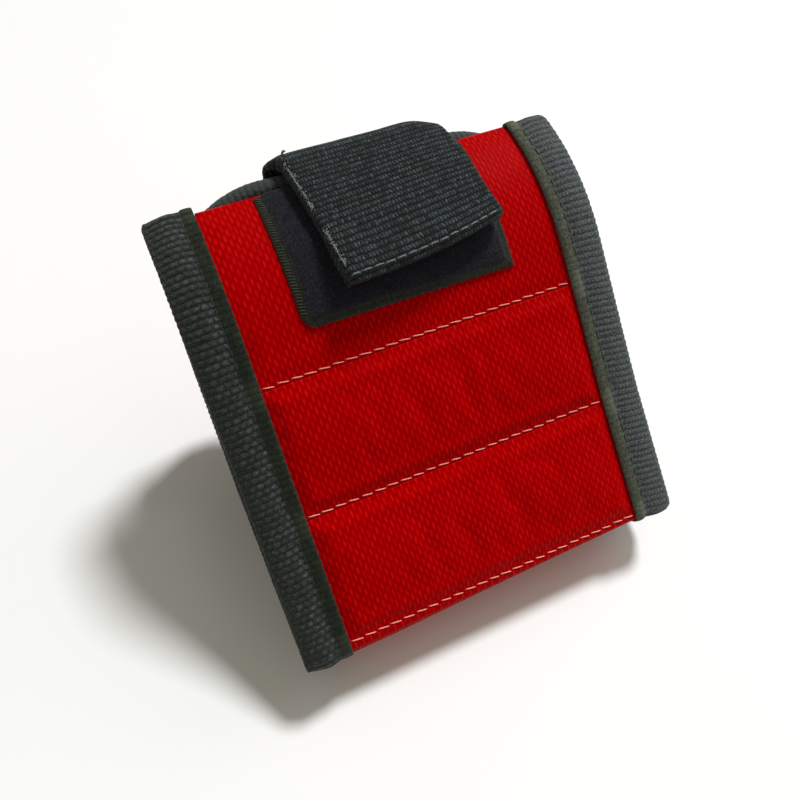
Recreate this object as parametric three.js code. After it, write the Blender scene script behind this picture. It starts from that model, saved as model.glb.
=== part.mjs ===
import * as THREE from "three";
import { mergeVertices } from "three/addons/utils/BufferGeometryUtils.js";

// A magnetic wristband closed into a loop and resting on its underside.
// Millimetres and degrees. X runs along the loop's axis, Y points to the back, Z is up.
// The band is followed from the free edge of its front flap, down the face, round the fold,
// along the underside and up the back to the rounded tongue that carries the strap.

// Band
const bandWidth = 90;
const pocketPitch = 27.4;
const flapCurveLength = 28.3;
const flapStraightLength = 8.7;
const foldRadius = 3.5;
const rowBendRadius = 4;
const softBendRadius = 40;
const underStraightLength = 21.6;
const pieceGap = 0.3;

// Directions of the band's parts, turned anticlockwise seen from the right
const flapEdgeHeading = 182;
const flapCurveTurn = 36;
const secondRowTurn = -2.6;
const frontFoldTurn = 125.9;
const halfTurn = 180;
const fullTurn = 360;

// Layers, from the outer face inwards
const coverThickness = 0.8;
const liningThickness = 0.8;
const pocketPuff = 1.6;
const pocketInnerPuff = 1.2;
const flapPuff = 0.5;
const flapInnerPuff = 1.2;
const puffRise = 3;
const hemDepth = 6;

// Edge binding, a tape folded over the band's edge
const bindingWidth = 9.8;
const tapeThickness = 0.8;
const bindingCrown = 0.4;
const bindingOverhang = 1.2;

// Tongue at the band's far end
const tongueCornerRadius = 25;
const tongueLean = 76;
const tongueRise = -0.3;
const closureGap = 0.5;

// Magnets
const magnetDiameter = 12;
const magnetThickness = 2;
const magnetFit = 0.3;
const magnetsPerPocket = 3;

// Loop patch
const patchWidth = 46.5;
const patchLength = 28;
const patchThickness = 1.3;
const patchCornerRadius = 3;

// Strap
const strapWidth = 38;
const strapThickness = 1.5;
const strapRootLength = 24;
const strapEndFlat = 16;
const strapTipLength = 12.5;
const strapHemDepth = 7.5;
const hookThickness = 0.9;
const hookWidth = 34;
const hookSetback = 2;
const archSeat = 0.5;
const strapSetAngle = 4;
const strapCurveTurn = 6;
const strapSkewAngle = 5.5;

// Sewing thread
const threadWidth = 0.6;
const threadHeight = 0.5;
const stitchLength = 2.9;
const stitchWaistShare = 0.4;
const rowMargin = 1.4;

// How finely curves are divided: counts, a turn per step and shares of a rounded corner
const stationTurn = 12;
const arcSteps = 9;
const hemSteps = 6;
const circleSteps = 24;
const halvings = 40;
const cornerShares = [0.3, 0.5, 0.7, 0.85, 0.94];
const stationMerge = 0.05;

const deg = THREE.MathUtils.degToRad;
const pinchDepth = coverThickness + pieceGap + liningThickness;
const edgeInset = tapeThickness + pieceGap;
const bindingInnerX = bandWidth / 2 - bindingWidth;

// A line in the profile plane, made of straight and evenly curved runs
class ProfilePath {
  constructor(y, z, heading) {
    this.start = { y, z, heading: deg(heading) };
    this.runs = [];
    this.length = 0;
  }

  add(length, turn = 0) {
    const from = this.at(this.length);
    this.runs.push({ from, length, turn: deg(turn), begin: this.length });
    this.length += length;
    return this.length;
  }

  // The place and direction at a distance along the path, straight on past both ends
  at(distance) {
    const run = this.runs.findLast((r) => r.begin <= distance) ?? this.runs[0];
    if (!run) return { ...this.start };
    const along = distance - run.begin;
    const inside = Math.min(Math.max(along, 0), run.length);
    const outside = along - inside;
    const bent = run.length > 0 ? (run.turn * inside) / run.length : 0;
    const chord = Math.abs(bent) > 0 ? (inside * Math.sin(bent / 2)) / (bent / 2) : inside;
    const middle = run.from.heading + bent / 2;
    const heading = run.from.heading + bent;
    return {
      y: run.from.y + chord * Math.cos(middle) + outside * Math.cos(heading),
      z: run.from.z + chord * Math.sin(middle) + outside * Math.sin(heading),
      heading,
    };
  }

  // A point across the width at x, standing out from the path's outer side
  point(distance, x, out) {
    const { y, z, heading } = this.at(distance);
    return new THREE.Vector3(x, y + out * Math.sin(heading), z - out * Math.cos(heading));
  }

  // Distances between two ends, close together where the path curves
  stations(from, to) {
    const found = new Set([from, to]);
    for (const run of this.runs) {
      const steps = Math.max(1, Math.ceil(Math.abs(run.turn) / deg(stationTurn)));
      for (let i = 0; i <= steps; i += 1) found.add(run.begin + (run.length * i) / steps);
    }
    return [...found].filter((d) => d >= from && d <= to).sort((a, b) => a - b);
  }
}

// The band's outer face at its stitch rows
const band = new ProfilePath(0, 0, flapEdgeHeading);
const softBend = softBendRadius * Math.abs(deg(secondRowTurn));
const underTurn = fullTurn - flapEdgeHeading - flapCurveTurn - secondRowTurn - frontFoldTurn;
const underBend = rowBendRadius * deg(underTurn);
const rows = {};
band.add(flapCurveLength, flapCurveTurn);
rows.one = band.add(flapStraightLength);
band.add(pocketPitch - softBend / 2);
rows.two = band.length + softBend / 2;
band.add(softBend, secondRowTurn);
rows.three = band.add(pocketPitch - softBend / 2);
rows.foldEnd = band.add(foldRadius * deg(frontFoldTurn), frontFoldTurn);
band.add(underStraightLength);
rows.four = band.length + underBend / 2;
band.add(underBend, underTurn);

// The back leans so that the tongue closes just behind the flap's edge.
const tongueDepth = pinchDepth + pieceGap + tapeThickness;
const hemRadius = (pinchDepth + pieceGap + coverThickness) / 2;
const lean = deg(tongueLean);
const flapEdge = band.at(0);
const tongueTop = {
  y:
    flapEdge.y +
    Math.max(bindingOverhang, hemRadius) +
    closureGap +
    tongueDepth / Math.sin(lean) +
    (2 * hemRadius + tongueRise) / Math.tan(lean),
  z: flapEdge.z + tongueRise,
};
band.add(pocketPitch - underBend / 2);
rows.five = band.length;
const baseEnd = band.at(band.length);

// What is left to the tongue's top when the back pocket stands at an angle
function backReach(angle) {
  const straight = pocketPitch - rowBendRadius * angle;
  const y = baseEnd.y + rowBendRadius * Math.sin(lean) + straight * Math.cos(angle);
  const z = baseEnd.z + rowBendRadius * (1 - Math.cos(lean)) + straight * Math.sin(angle);
  return { dy: tongueTop.y - y, dz: tongueTop.z - z };
}
let [lowest, highest] = [0, lean];
for (let i = 0; i < halvings; i += 1) {
  const middle = (lowest + highest) / 2;
  const { dy, dz } = backReach(middle);
  if (dy * Math.sin(lean) > dz * Math.cos(lean)) highest = middle;
  else lowest = middle;
}
const backAngle = (lowest + highest) / 2;
const backBend = rowBendRadius * backAngle;
band.add(backBend, THREE.MathUtils.radToDeg(backAngle));
rows.six = band.add(pocketPitch - backBend);
const topBend = rowBendRadius * (lean - backAngle);
band.add(topBend, tongueLean - THREE.MathUtils.radToDeg(backAngle));
const { dy: lastY, dz: lastZ } = backReach(backAngle);
rows.end = band.add(Math.hypot(lastY, lastZ));
const tongueCornerStart = rows.end - tongueCornerRadius;

// Half the band's width, rounded off at the tongue and drawn in by an inset
function halfWidth(distance, inset) {
  const past = Math.max(0, distance - tongueCornerStart);
  const radius = tongueCornerRadius - inset;
  const rounded = Math.sqrt(Math.max(0, radius * radius - past * past));
  return bandWidth / 2 - tongueCornerRadius + rounded;
}

// Pockets between the stitch rows, and how far the cover and the lining stand out over each
const pocketFills = { out: pocketPuff, in: pocketInnerPuff };
const magnetPockets = [
  { name: "upper", from: rows.one + rowMargin, to: rows.two - rowMargin, ...pocketFills },
  { name: "lower", from: rows.two + rowMargin, to: rows.three - rowMargin, ...pocketFills },
  { name: "under", from: rows.foldEnd, to: rows.four - underBend / 2 - rowMargin, ...pocketFills },
  { name: "base", from: rows.four + underBend / 2, to: rows.five - rowMargin, ...pocketFills },
  { name: "back", from: rows.five + backBend, to: rows.six - rowMargin, ...pocketFills },
];
const padPockets = [
  {
    name: "flap",
    from: hemDepth + pieceGap,
    to: rows.one - rowMargin,
    out: flapPuff,
    in: flapInnerPuff,
  },
  {
    name: "tongue",
    from: rows.six + topBend,
    to: rows.end - bindingWidth - rowMargin,
    ...pocketFills,
  },
];
const pockets = [...magnetPockets, ...padPockets];

// How far a sheet stands out on one side: nothing at a stitch row, all of it inside a pocket
function fullness(distance, side) {
  const pocket = pockets.find((p) => distance > p.from && distance < p.to);
  if (!pocket) return 0;
  const edge = Math.min(distance - pocket.from, pocket.to - distance);
  return pocket[side] * Math.min(1, edge / puffRise);
}

function bandStations(from, to) {
  const found = new Set(band.stations(from, to));
  for (const p of pockets) {
    for (const d of [p.from, p.from + puffRise, p.to - puffRise, p.to]) found.add(d);
  }
  for (const share of cornerShares) found.add(tongueCornerStart + tongueCornerRadius * share);
  const inside = [...found].filter((d) => d >= from && d <= to).sort((a, b) => a - b);
  return inside.filter((d, i) => i === 0 || d - inside[i - 1] > stationMerge);
}

// A closed body swept through stations: outline(d) gives the section's points and place(d, a, n)
// puts one of them in space. Faces look outwards whichever way the section is drawn.
function sweep(stations, outline, place) {
  const sections = stations.map((d) => outline(d).map(([a, n]) => place(d, a, n)));
  const count = sections[0].length;
  const corners = sections.flat();
  const faces = [];
  for (let i = 0; i + 1 < sections.length; i += 1) {
    for (let j = 0; j < count; j += 1) {
      const k = (j + 1) % count;
      const [p, q, r, s] = [i * count + j, i * count + k, (i + 1) * count + k, (i + 1) * count + j];
      faces.push([p, q, r], [p, r, s]);
    }
  }
  const closeEnd = (station, base, sameWay) => {
    const flat = outline(station).map(([a, n]) => new THREE.Vector2(a, n));
    const drawn = Math.sign(THREE.ShapeUtils.area(flat));
    for (const [a, b, c] of THREE.ShapeUtils.triangulateShape(flat, [])) {
      const turns = Math.sign(THREE.ShapeUtils.area([flat[a], flat[b], flat[c]]));
      const kept = (turns === drawn) === sameWay;
      faces.push(kept ? [base + a, base + b, base + c] : [base + a, base + c, base + b]);
    }
  };
  closeEnd(stations[0], 0, false);
  closeEnd(stations.at(-1), (stations.length - 1) * count, true);
  return closedGeometry(corners, faces);
}

// A geometry of loose triangles, turned outwards if its volume comes out negative
function closedGeometry(corners, faces) {
  let volume = 0;
  for (const [a, b, c] of faces) {
    volume += corners[a].dot(new THREE.Vector3().crossVectors(corners[b], corners[c]));
  }
  const outward = volume >= 0 ? faces : faces.map(([a, b, c]) => [a, c, b]);
  const geometry = new THREE.BufferGeometry().setFromPoints(
    outward.flatMap((face) => face.map((index) => corners[index])),
  );
  const merged = mergeVertices(geometry);
  merged.computeVertexNormals();
  return merged;
}

const finishes = {
  nylon: { color: 0xa80608, roughness: 0.55, metalness: 0 },
  lining: { color: 0x16181a, roughness: 0.9, metalness: 0 },
  tape: { color: 0x23292a, roughness: 0.75, metalness: 0 },
  webbing: { color: 0x1c2226, roughness: 0.75, metalness: 0 },
  loop: { color: 0x15161c, roughness: 0.95, metalness: 0 },
  hook: { color: 0x101114, roughness: 0.6, metalness: 0 },
  thread: { color: 0xe9c9b8, roughness: 0.6, metalness: 0 },
  foam: { color: 0x3a3d40, roughness: 0.95, metalness: 0 },
  magnet: { color: 0xb9bcc0, roughness: 0.25, metalness: 1 },
};
const materials = Object.fromEntries(
  Object.entries(finishes).map(([name, look]) => [name, new THREE.MeshStandardMaterial(look)]),
);

const wristband = new THREE.Group();
function addPiece(name, geometry, finish, parent = wristband) {
  const mesh = new THREE.Mesh(geometry, materials[finish]);
  mesh.name = name;
  parent.add(mesh);
  return mesh;
}

// Points across half of a sheet: where it lies, and whether it stands out over a pocket there
const boundShare = 0.96;
const centreShare = 0.4;
function columns(distance) {
  const edge = halfWidth(distance, edgeInset);
  const bound = Math.min(halfWidth(distance, bindingWidth), edge * boundShare);
  const full = bound - puffRise;
  return [
    [edge, 0],
    [bound, 0],
    [full, 1],
    [full * centreShare, 1],
  ];
}

// Both halves of a section, from its left end to its right end
function mirrored(half) {
  return [...half.map(([x, n]) => [-x, n]), ...half.toReversed()];
}

// Cover and lining: sheets that part over each pocket and meet at each stitch row
function sheetOutline(side, top, thickness) {
  const sign = side === "out" ? 1 : -1;
  return (distance) => {
    const rise = sign * fullness(distance, side);
    const face = mirrored(columns(distance).map(([x, full]) => [x, top + full * rise]));
    const under = face.map(([x, n]) => [x, n - thickness]).toReversed();
    return [...face, ...under];
  };
}
const bandPlace = (distance, x, out) => band.point(distance, x, out);
const coverOutline = sheetOutline("out", 0, coverThickness);
const liningOutline = sheetOutline("in", -coverThickness - pieceGap, liningThickness);
const halfGap = pieceGap / 2;
const spans = [
  { name: "flap", from: 0, to: rows.one - halfGap },
  { name: "upper", from: rows.one + halfGap, to: rows.two - halfGap },
  { name: "lower", from: rows.two + halfGap, to: rows.three - halfGap },
  { name: "base", from: rows.three + halfGap, to: rows.end - edgeInset },
];

// The flap's cover turns round the edge and back under the lining.
const turnedShares = [1, 0.96, 0.85, 0.35];
function buildHemmedCover(span) {
  const shift = hemDepth + hemRadius * Math.PI;
  const turnedHalf = turnedShares.map((share) => [(bindingInnerX - pieceGap) * share, 0]);
  const turnedFace = mirrored(turnedHalf);
  const turnedUnder = turnedFace.map(([x, n]) => [x, n - coverThickness]).toReversed();
  const outline = (d) => (d > shift ? coverOutline(d - shift) : [...turnedFace, ...turnedUnder]);
  const place = (d, x, n) => {
    if (d > shift) return band.point(d - shift, x, n);
    const angle = Math.max(0, d - hemDepth) / hemRadius;
    const inside = Math.max(0, hemDepth - d);
    const radius = hemRadius + n;
    return band.point(inside - radius * Math.sin(angle), x, -hemRadius - radius * Math.cos(angle));
  };
  const turnedIn = [0, hemDepth / 2];
  for (let i = 0; i <= hemSteps; i += 1) turnedIn.push(hemDepth + ((shift - hemDepth) * i) / hemSteps);
  const onBand = bandStations(pieceGap, span.to).map((d) => d + shift);
  return sweep([...turnedIn, ...onBand], outline, place);
}

for (const span of spans) {
  const stations = bandStations(span.from, span.to);
  const cover = span.name === "flap" ? buildHemmedCover(span) : sweep(stations, coverOutline, bandPlace);
  addPiece(`cover_${span.name}`, cover, "nylon");
  const liningFrom = span.name === "flap" ? pieceGap : span.from;
  const liningStations = bandStations(liningFrom, span.to);
  addPiece(`lining_${span.name}`, sweep(liningStations, liningOutline, bandPlace), "lining");
}

// Binding section: a outwards-in from the band's edge, n out of the face
const slotTop = pieceGap;
const slotFloor = -pinchDepth - pieceGap;
const bindingOutline = [];
const crownShares = [0.08, 0.3, 0.62, 0.76, 0.97];
const crownHeights = [0.45, 1, 0.75, 0, 0.3];
crownShares.forEach((share, i) => {
  bindingOutline.push([bindingWidth * share, slotTop + tapeThickness + bindingCrown * crownHeights[i]]);
});
bindingOutline.push([bindingWidth, slotTop + tapeThickness / 2], [bindingWidth, slotTop]);
bindingOutline.push([tapeThickness, slotTop], [tapeThickness, slotFloor], [bindingWidth, slotFloor]);
bindingOutline.push([bindingWidth, slotFloor - tapeThickness], [tapeThickness, slotFloor - tapeThickness]);
bindingOutline.push([0, slotFloor], [0, slotTop + tapeThickness / 2]);

const bindingSpans = [
  { name: "flap", from: -bindingOverhang, to: rows.one - halfGap },
  { name: "upper", from: rows.one + halfGap, to: rows.two - halfGap },
  { name: "lower", from: rows.two + halfGap, to: rows.three - halfGap },
  { name: "base", from: rows.three + halfGap, to: tongueCornerStart - halfGap },
];
for (const [side, sign] of [["left", -1], ["right", 1]]) {
  const place = (d, a, n) => band.point(d, sign * (bandWidth / 2 - a), n);
  for (const span of bindingSpans) {
    const stations = band.stations(span.from, span.to);
    const name = `binding_${side}_${span.name}`;
    addPiece(name, sweep(stations, () => bindingOutline, place), "tape");
  }
}

// The tongue's binding runs up one rounded corner, along the top and down the other.
const cornerLength = (tongueCornerRadius * Math.PI) / 2;
const topLength = bandWidth - 2 * tongueCornerRadius;
function tongueBinding() {
  const stations = [];
  for (let i = 0; i <= arcSteps; i += 1) stations.push((cornerLength * i) / arcSteps);
  for (let i = 0; i <= arcSteps; i += 1) {
    stations.push(cornerLength + topLength + (cornerLength * i) / arcSteps);
  }
  const place = (d, a, n) => {
    const onSecond = d > cornerLength;
    const arc = Math.min(d, cornerLength) + Math.max(0, d - cornerLength - topLength);
    const angle = arc / tongueCornerRadius;
    const straight = onSecond ? Math.min(d - cornerLength, topLength) : 0;
    const radius = tongueCornerRadius - a;
    const x = -topLength / 2 + straight - radius * Math.cos(angle);
    return band.point(tongueCornerStart + radius * Math.sin(angle), x, n);
  };
  return sweep(stations, () => bindingOutline, place);
}
addPiece("binding_tongue", tongueBinding(), "tape");

// Fillings: a foam plate with a hole for each magnet in five pockets, plain pads in the end panels
const plateHalfWidth = bindingInnerX - puffRise - pieceGap;
const plateThickness = pocketPuff + pocketInnerPuff - pieceGap;
const magnetSpacing = (2 * plateHalfWidth) / magnetsPerPocket;
for (const pocket of magnetPockets) {
  const middle = (pocket.from + pocket.to) / 2;
  const halfLength = (pocket.to - pocket.from) / 2 - puffRise - pieceGap;
  const { heading } = band.at(middle);
  const holder = new THREE.Group();
  holder.position.copy(band.point(middle, 0, pocketPuff - coverThickness - pieceGap - plateThickness));
  holder.rotation.x = heading - Math.PI;
  wristband.add(holder);
  const outline = new THREE.Shape([
    new THREE.Vector2(-plateHalfWidth, -halfLength),
    new THREE.Vector2(plateHalfWidth, -halfLength),
    new THREE.Vector2(plateHalfWidth, halfLength),
    new THREE.Vector2(-plateHalfWidth, halfLength),
  ]);
  const places = [];
  for (let i = 0; i < magnetsPerPocket; i += 1) {
    places.push((i - (magnetsPerPocket - 1) / 2) * magnetSpacing);
  }
  for (const x of places) {
    outline.holes.push(new THREE.Path().absarc(x, 0, magnetDiameter / 2 + magnetFit, 0, 2 * Math.PI));
  }
  const plate = new THREE.ExtrudeGeometry(outline, {
    depth: plateThickness,
    bevelEnabled: false,
    curveSegments: circleSteps / 2,
  });
  addPiece(`foam_${pocket.name}`, plate, "foam", holder);
  places.forEach((x, i) => {
    const disc = new THREE.CylinderGeometry(
      magnetDiameter / 2,
      magnetDiameter / 2,
      magnetThickness,
      circleSteps,
    );
    const magnet = addPiece(`magnet_${pocket.name}_${i + 1}`, disc, "magnet", holder);
    magnet.rotation.x = Math.PI / 2;
    magnet.position.set(x, 0, plateThickness / 2);
  });
}

function padOutline(pocket) {
  return (distance) => {
    const half = halfWidth(distance, bindingWidth) - puffRise - pieceGap;
    const top = pocket.out - coverThickness - pieceGap;
    const floor = -coverThickness - pocket.in;
    return [
      [-half, top],
      [half, top],
      [half, floor],
      [-half, floor],
    ];
  };
}
for (const pocket of padPockets) {
  const inset = puffRise + pieceGap;
  const stations = bandStations(pocket.from + inset, pocket.to - inset);
  addPiece(`pad_${pocket.name}`, sweep(stations, padOutline(pocket), bandPlace), "foam");
}

// Loop patch, sewn on the flap's face with its lower left corner rounded
const patchFrom = pieceGap;
function buildPatch() {
  const place = (d, x, n) => band.point(d, x, n + fullness(d, "out"));
  const end = patchFrom + patchLength;
  const inner = end - patchCornerRadius;
  const cornerSteps = cornerShares.map((share) => inner + patchCornerRadius * share);
  const stations = [...bandStations(patchFrom, inner), ...cornerSteps, end];
  const outline = (d) => {
    const past = Math.max(0, d - inner) / patchCornerRadius;
    const drawn = patchCornerRadius * (1 - Math.sqrt(Math.max(0, 1 - past * past)));
    const half = patchWidth / 2;
    return [
      [drawn - half, pieceGap],
      [half, pieceGap],
      [half, pieceGap + patchThickness],
      [drawn - half, pieceGap + patchThickness],
    ];
  };
  return sweep(stations, outline, place);
}
addPiece("loop_patch", buildPatch(), "loop");

// Strap: up the tongue's back, over its top in an arch, then along the patch
const bindingProud = slotTop + tapeThickness + bindingCrown;
const strapOut = Math.max(pocketPuff, bindingProud) + pieceGap;
const strapStart = band.point(rows.end - archSeat - strapRootLength, 0, strapOut);
const tongueHeading = band.at(rows.end).heading;
const strap = new ProfilePath(
  strapStart.y,
  strapStart.z,
  THREE.MathUtils.radToDeg(tongueHeading),
);
const archStart = strap.add(strapRootLength);
const flapRadius = flapCurveLength / deg(flapCurveTurn);
const flapCentre = band.point(0, 0, -flapRadius);
const patchTop = flapRadius + flapPuff + pieceGap + patchThickness;
const layHeading = deg(fullTurn + halfTurn + strapSetAngle);
const layNormal = { y: Math.sin(layHeading), z: -Math.cos(layHeading) };
const wantedLay = patchTop + pieceGap + hookThickness + pieceGap;
const arch = band.point(rows.end - archSeat, 0, strapOut);
const archSeatLay = (arch.y - flapCentre.y) * layNormal.y + (arch.z - flapCentre.z) * layNormal.z;
const inward = { y: -Math.sin(tongueHeading), z: Math.cos(tongueHeading) };
const archShare = 1 + inward.y * layNormal.y + inward.z * layNormal.z;
const leastArchRadius = (strapOut + tongueDepth) / 2 + pieceGap;
const archRadius = Math.max(leastArchRadius, (wantedLay - archSeatLay) / archShare);
const layRadius = archSeatLay + archRadius * archShare;
const archTurn = THREE.MathUtils.radToDeg(layHeading - tongueHeading);
strap.add(archRadius * deg(archTurn), archTurn);
const archEnd = strap.at(strap.length);
const leadLength =
  (flapCentre.y - archEnd.y) * Math.cos(layHeading) + (flapCentre.z - archEnd.z) * Math.sin(layHeading);
const leadEnd = strap.add(Math.max(0, leadLength));
strap.add(layRadius * deg(strapCurveTurn), strapCurveTurn);
const strapEnd = strap.add(strapEndFlat);
const tipSplit = strapEnd - strapTipLength;

// The laid part is turned a little in its own plane, so its end is slanted and set to one side.
const skew = Math.tan(deg(strapSkewAngle));
function strapPlace(distance, x, out) {
  const past = Math.max(0, distance - archStart);
  const share = past / (strapEnd - archStart);
  const shifted = distance - x * skew * share;
  return strap.point(shifted, x + past * skew, out);
}
function strapSection(half, floor, top) {
  return () => [
    [-half, floor],
    [0, floor],
    [half, floor],
    [half, top],
    [0, top],
    [-half, top],
  ];
}
const webSection = strapSection(strapWidth / 2, 0, strapThickness);
const rootStations = strap.stations(0, archStart - halfGap);
addPiece("strap_root", sweep(rootStations, webSection, strapPlace), "webbing");
const bandTo = tipSplit - halfGap;
const strapStations = strap.stations(archStart + halfGap, bandTo);
addPiece("strap_band", sweep(strapStations, webSection, strapPlace), "webbing");

// The strap's end is folded under itself and sewn down.
const strapHemRadius = strapThickness + pieceGap / 2;
function buildTip() {
  const hemArc = strapHemRadius * Math.PI;
  const arcFrom = strapEnd - strapHemRadius;
  const stations = [tipSplit + halfGap, arcFrom];
  for (let i = 1; i <= arcSteps; i += 1) stations.push(arcFrom + (hemArc * i) / arcSteps);
  stations.push(arcFrom + hemArc + strapHemDepth);
  const place = (d, x, n) => {
    if (d <= arcFrom) return strapPlace(d, x, n);
    const turned = Math.min(Math.PI, (d - arcFrom) / strapHemRadius);
    const back = Math.max(0, d - arcFrom - hemArc);
    const radius = strapHemRadius - strapThickness + n;
    const along = arcFrom + radius * Math.sin(turned) - back;
    const out = strapThickness - strapHemRadius + radius * Math.cos(turned);
    return strapPlace(along, x, out);
  };
  return sweep(stations, webSection, place);
}
addPiece("strap_tip", buildTip(), "webbing");

const hookStations = strap.stations(leadEnd - hookSetback, bandTo);
const hookSection = strapSection(hookWidth / 2, -pieceGap - hookThickness, -pieceGap);
addPiece("hook_strip", sweep(hookStations, hookSection, strapPlace), "hook");

// Lock-stitch rows across the band, each a thread with a waist between its stitches
const threadHalfLength = bindingInnerX - pieceGap;
function buildRow(distance) {
  const stitches = Math.floor((2 * threadHalfLength) / stitchLength);
  const stations = [];
  for (let i = 0; i <= 2 * stitches; i += 1) {
    stations.push(-threadHalfLength + (i * threadHalfLength) / stitches);
  }
  const waist = (x) => {
    const index = Math.round(((x + threadHalfLength) * stitches) / threadHalfLength);
    return index % 2 === 0 ? stitchWaistShare : 1;
  };
  const outline = (x) => {
    const half = (threadWidth / 2) * waist(x);
    const top = pieceGap + threadHeight * waist(x);
    return [
      [-half, pieceGap],
      [half, pieceGap],
      [half, top],
      [-half, top],
    ];
  };
  return sweep(stations, outline, (x, a, n) => band.point(distance + a, x, n));
}
const threadSide = halfGap + threadWidth;
const rowPlaces = [
  rows.one - threadSide,
  rows.two - threadSide,
  rows.three - threadSide,
  rows.four,
  rows.five - threadSide,
  rows.six - threadSide,
];
rowPlaces.forEach((distance, index) => {
  addPiece(`stitch_row_${index + 1}`, buildRow(distance), "thread");
});

// The part's origin is the middle of its footprint, on the surface that it rests on.
const box = new THREE.Box3().setFromObject(wristband);
const centre = box.getCenter(new THREE.Vector3());
wristband.position.set(-centre.x, -centre.y, -box.min.z);

// Where the moving parts turn, as points in the part's own frame
const hingePlaces = {
  row_one: band.point(rows.one, 0, 0),
  row_two: band.point(rows.two, 0, 0),
  row_three: band.point(rows.three, 0, 0),
  strap: strap.point(archStart, 0, strapThickness),
  tip: strap.point(tipSplit, 0, strapThickness),
};
wristband.userData.hinges = Object.fromEntries(
  Object.entries(hingePlaces).map(([name, place]) => [name, place.add(wristband.position)]),
);

export default wristband;
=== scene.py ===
import math
import bmesh
import bpy
import numpy as np
from mathutils import Matrix, Vector


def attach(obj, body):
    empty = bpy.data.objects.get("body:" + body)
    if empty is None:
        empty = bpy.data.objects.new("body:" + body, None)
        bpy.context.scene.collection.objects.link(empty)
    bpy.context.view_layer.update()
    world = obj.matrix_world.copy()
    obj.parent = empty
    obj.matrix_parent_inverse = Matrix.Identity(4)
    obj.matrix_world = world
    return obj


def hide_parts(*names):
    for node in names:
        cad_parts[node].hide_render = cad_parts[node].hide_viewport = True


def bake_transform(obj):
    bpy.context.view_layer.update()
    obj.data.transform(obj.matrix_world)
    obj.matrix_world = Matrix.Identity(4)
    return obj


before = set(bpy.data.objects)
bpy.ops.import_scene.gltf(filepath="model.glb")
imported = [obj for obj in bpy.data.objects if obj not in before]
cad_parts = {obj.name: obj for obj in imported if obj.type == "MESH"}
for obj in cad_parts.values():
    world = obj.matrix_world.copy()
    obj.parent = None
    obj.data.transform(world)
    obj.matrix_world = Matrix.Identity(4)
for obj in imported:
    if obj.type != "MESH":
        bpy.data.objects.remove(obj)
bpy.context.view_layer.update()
mm = 0.001
print("frame loaded:", len(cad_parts), "nodes")

# camera and light, in millimetres

cameraView = {
    "place": (-47.92, -74.17, 173.18),
    "right": (0.9069, -0.4182, 0.0507),
    "up": (0.3373, 0.7930, 0.5074),
    "back": (-0.2524, -0.4431, 0.8602),
    "lens": 33.75,
    "sensor": 36.0,
    "nearest": 10.0,
}
studio = {
    "keyAim": (-0.477, -0.36, -0.802),  # the way the key light travels
    "keyDistance": 900,
    "keySpread": 11.0,  # degrees across: softens the shadow's edge
    "keyPower": 2.85,
    "keyTone": (0.98, 0.99, 1.0),
    "fillPlace": (330, 40, 170),
    "fillSize": 220,
    "fillPower": 0.3,
    "worldStrength": 0.28,
    "worldTone": (1.0, 0.95, 0.8, 1.0),
    "floorTone": (0.95, 0.95, 0.95, 1.0),
    "floorSize": 3000,
}


def addObject(name, data):
    obj = bpy.data.objects.new(name, data)
    bpy.context.scene.collection.objects.link(obj)
    return obj


def placeCamera():
    view = cameraView
    data = bpy.data.cameras.new("photoCamera")
    data.lens = view["lens"]
    data.sensor_width = view["sensor"]
    data.clip_start = view["nearest"] * mm
    camera = addObject("photoCamera", data)
    turn = Matrix((view["right"], view["up"], view["back"])).transposed()
    camera.matrix_world = Matrix.Translation(Vector(view["place"]) * mm) @ turn.to_4x4()
    bpy.context.scene.camera = camera


def placeLamp(name, kind, place, aim, **settings):
    data = bpy.data.lights.new(name, kind)
    data.color = studio["keyTone"]
    for key, value in settings.items():
        setattr(data, key, value)
    lamp = addObject(name, data)
    lamp.location = place * mm
    lamp.rotation_euler = aim.to_track_quat("-Z", "Y").to_euler()


def placeLamps():
    # a soft key light, and a wide low lamp that lifts the right edge and the shadow beside it
    aim = Vector(studio["keyAim"]).normalized()
    spread = math.radians(studio["keySpread"])
    placeLamp("keyLight", "SUN", aim * -studio["keyDistance"], aim, angle=spread, energy=studio["keyPower"])
    place = Vector(studio["fillPlace"])
    size = studio["fillSize"] * mm
    placeLamp("fillLight", "AREA", place, -place, size=size, energy=studio["fillPower"])


placeCamera()
placeLamps()
bpy.context.scene.view_settings.view_transform = "Standard"
print("camera and lamps placed")

# shader helpers

mixSockets = {"RGBA": (6, 7, 2), "FLOAT": (2, 3, 0)}  # low, high, result


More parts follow.
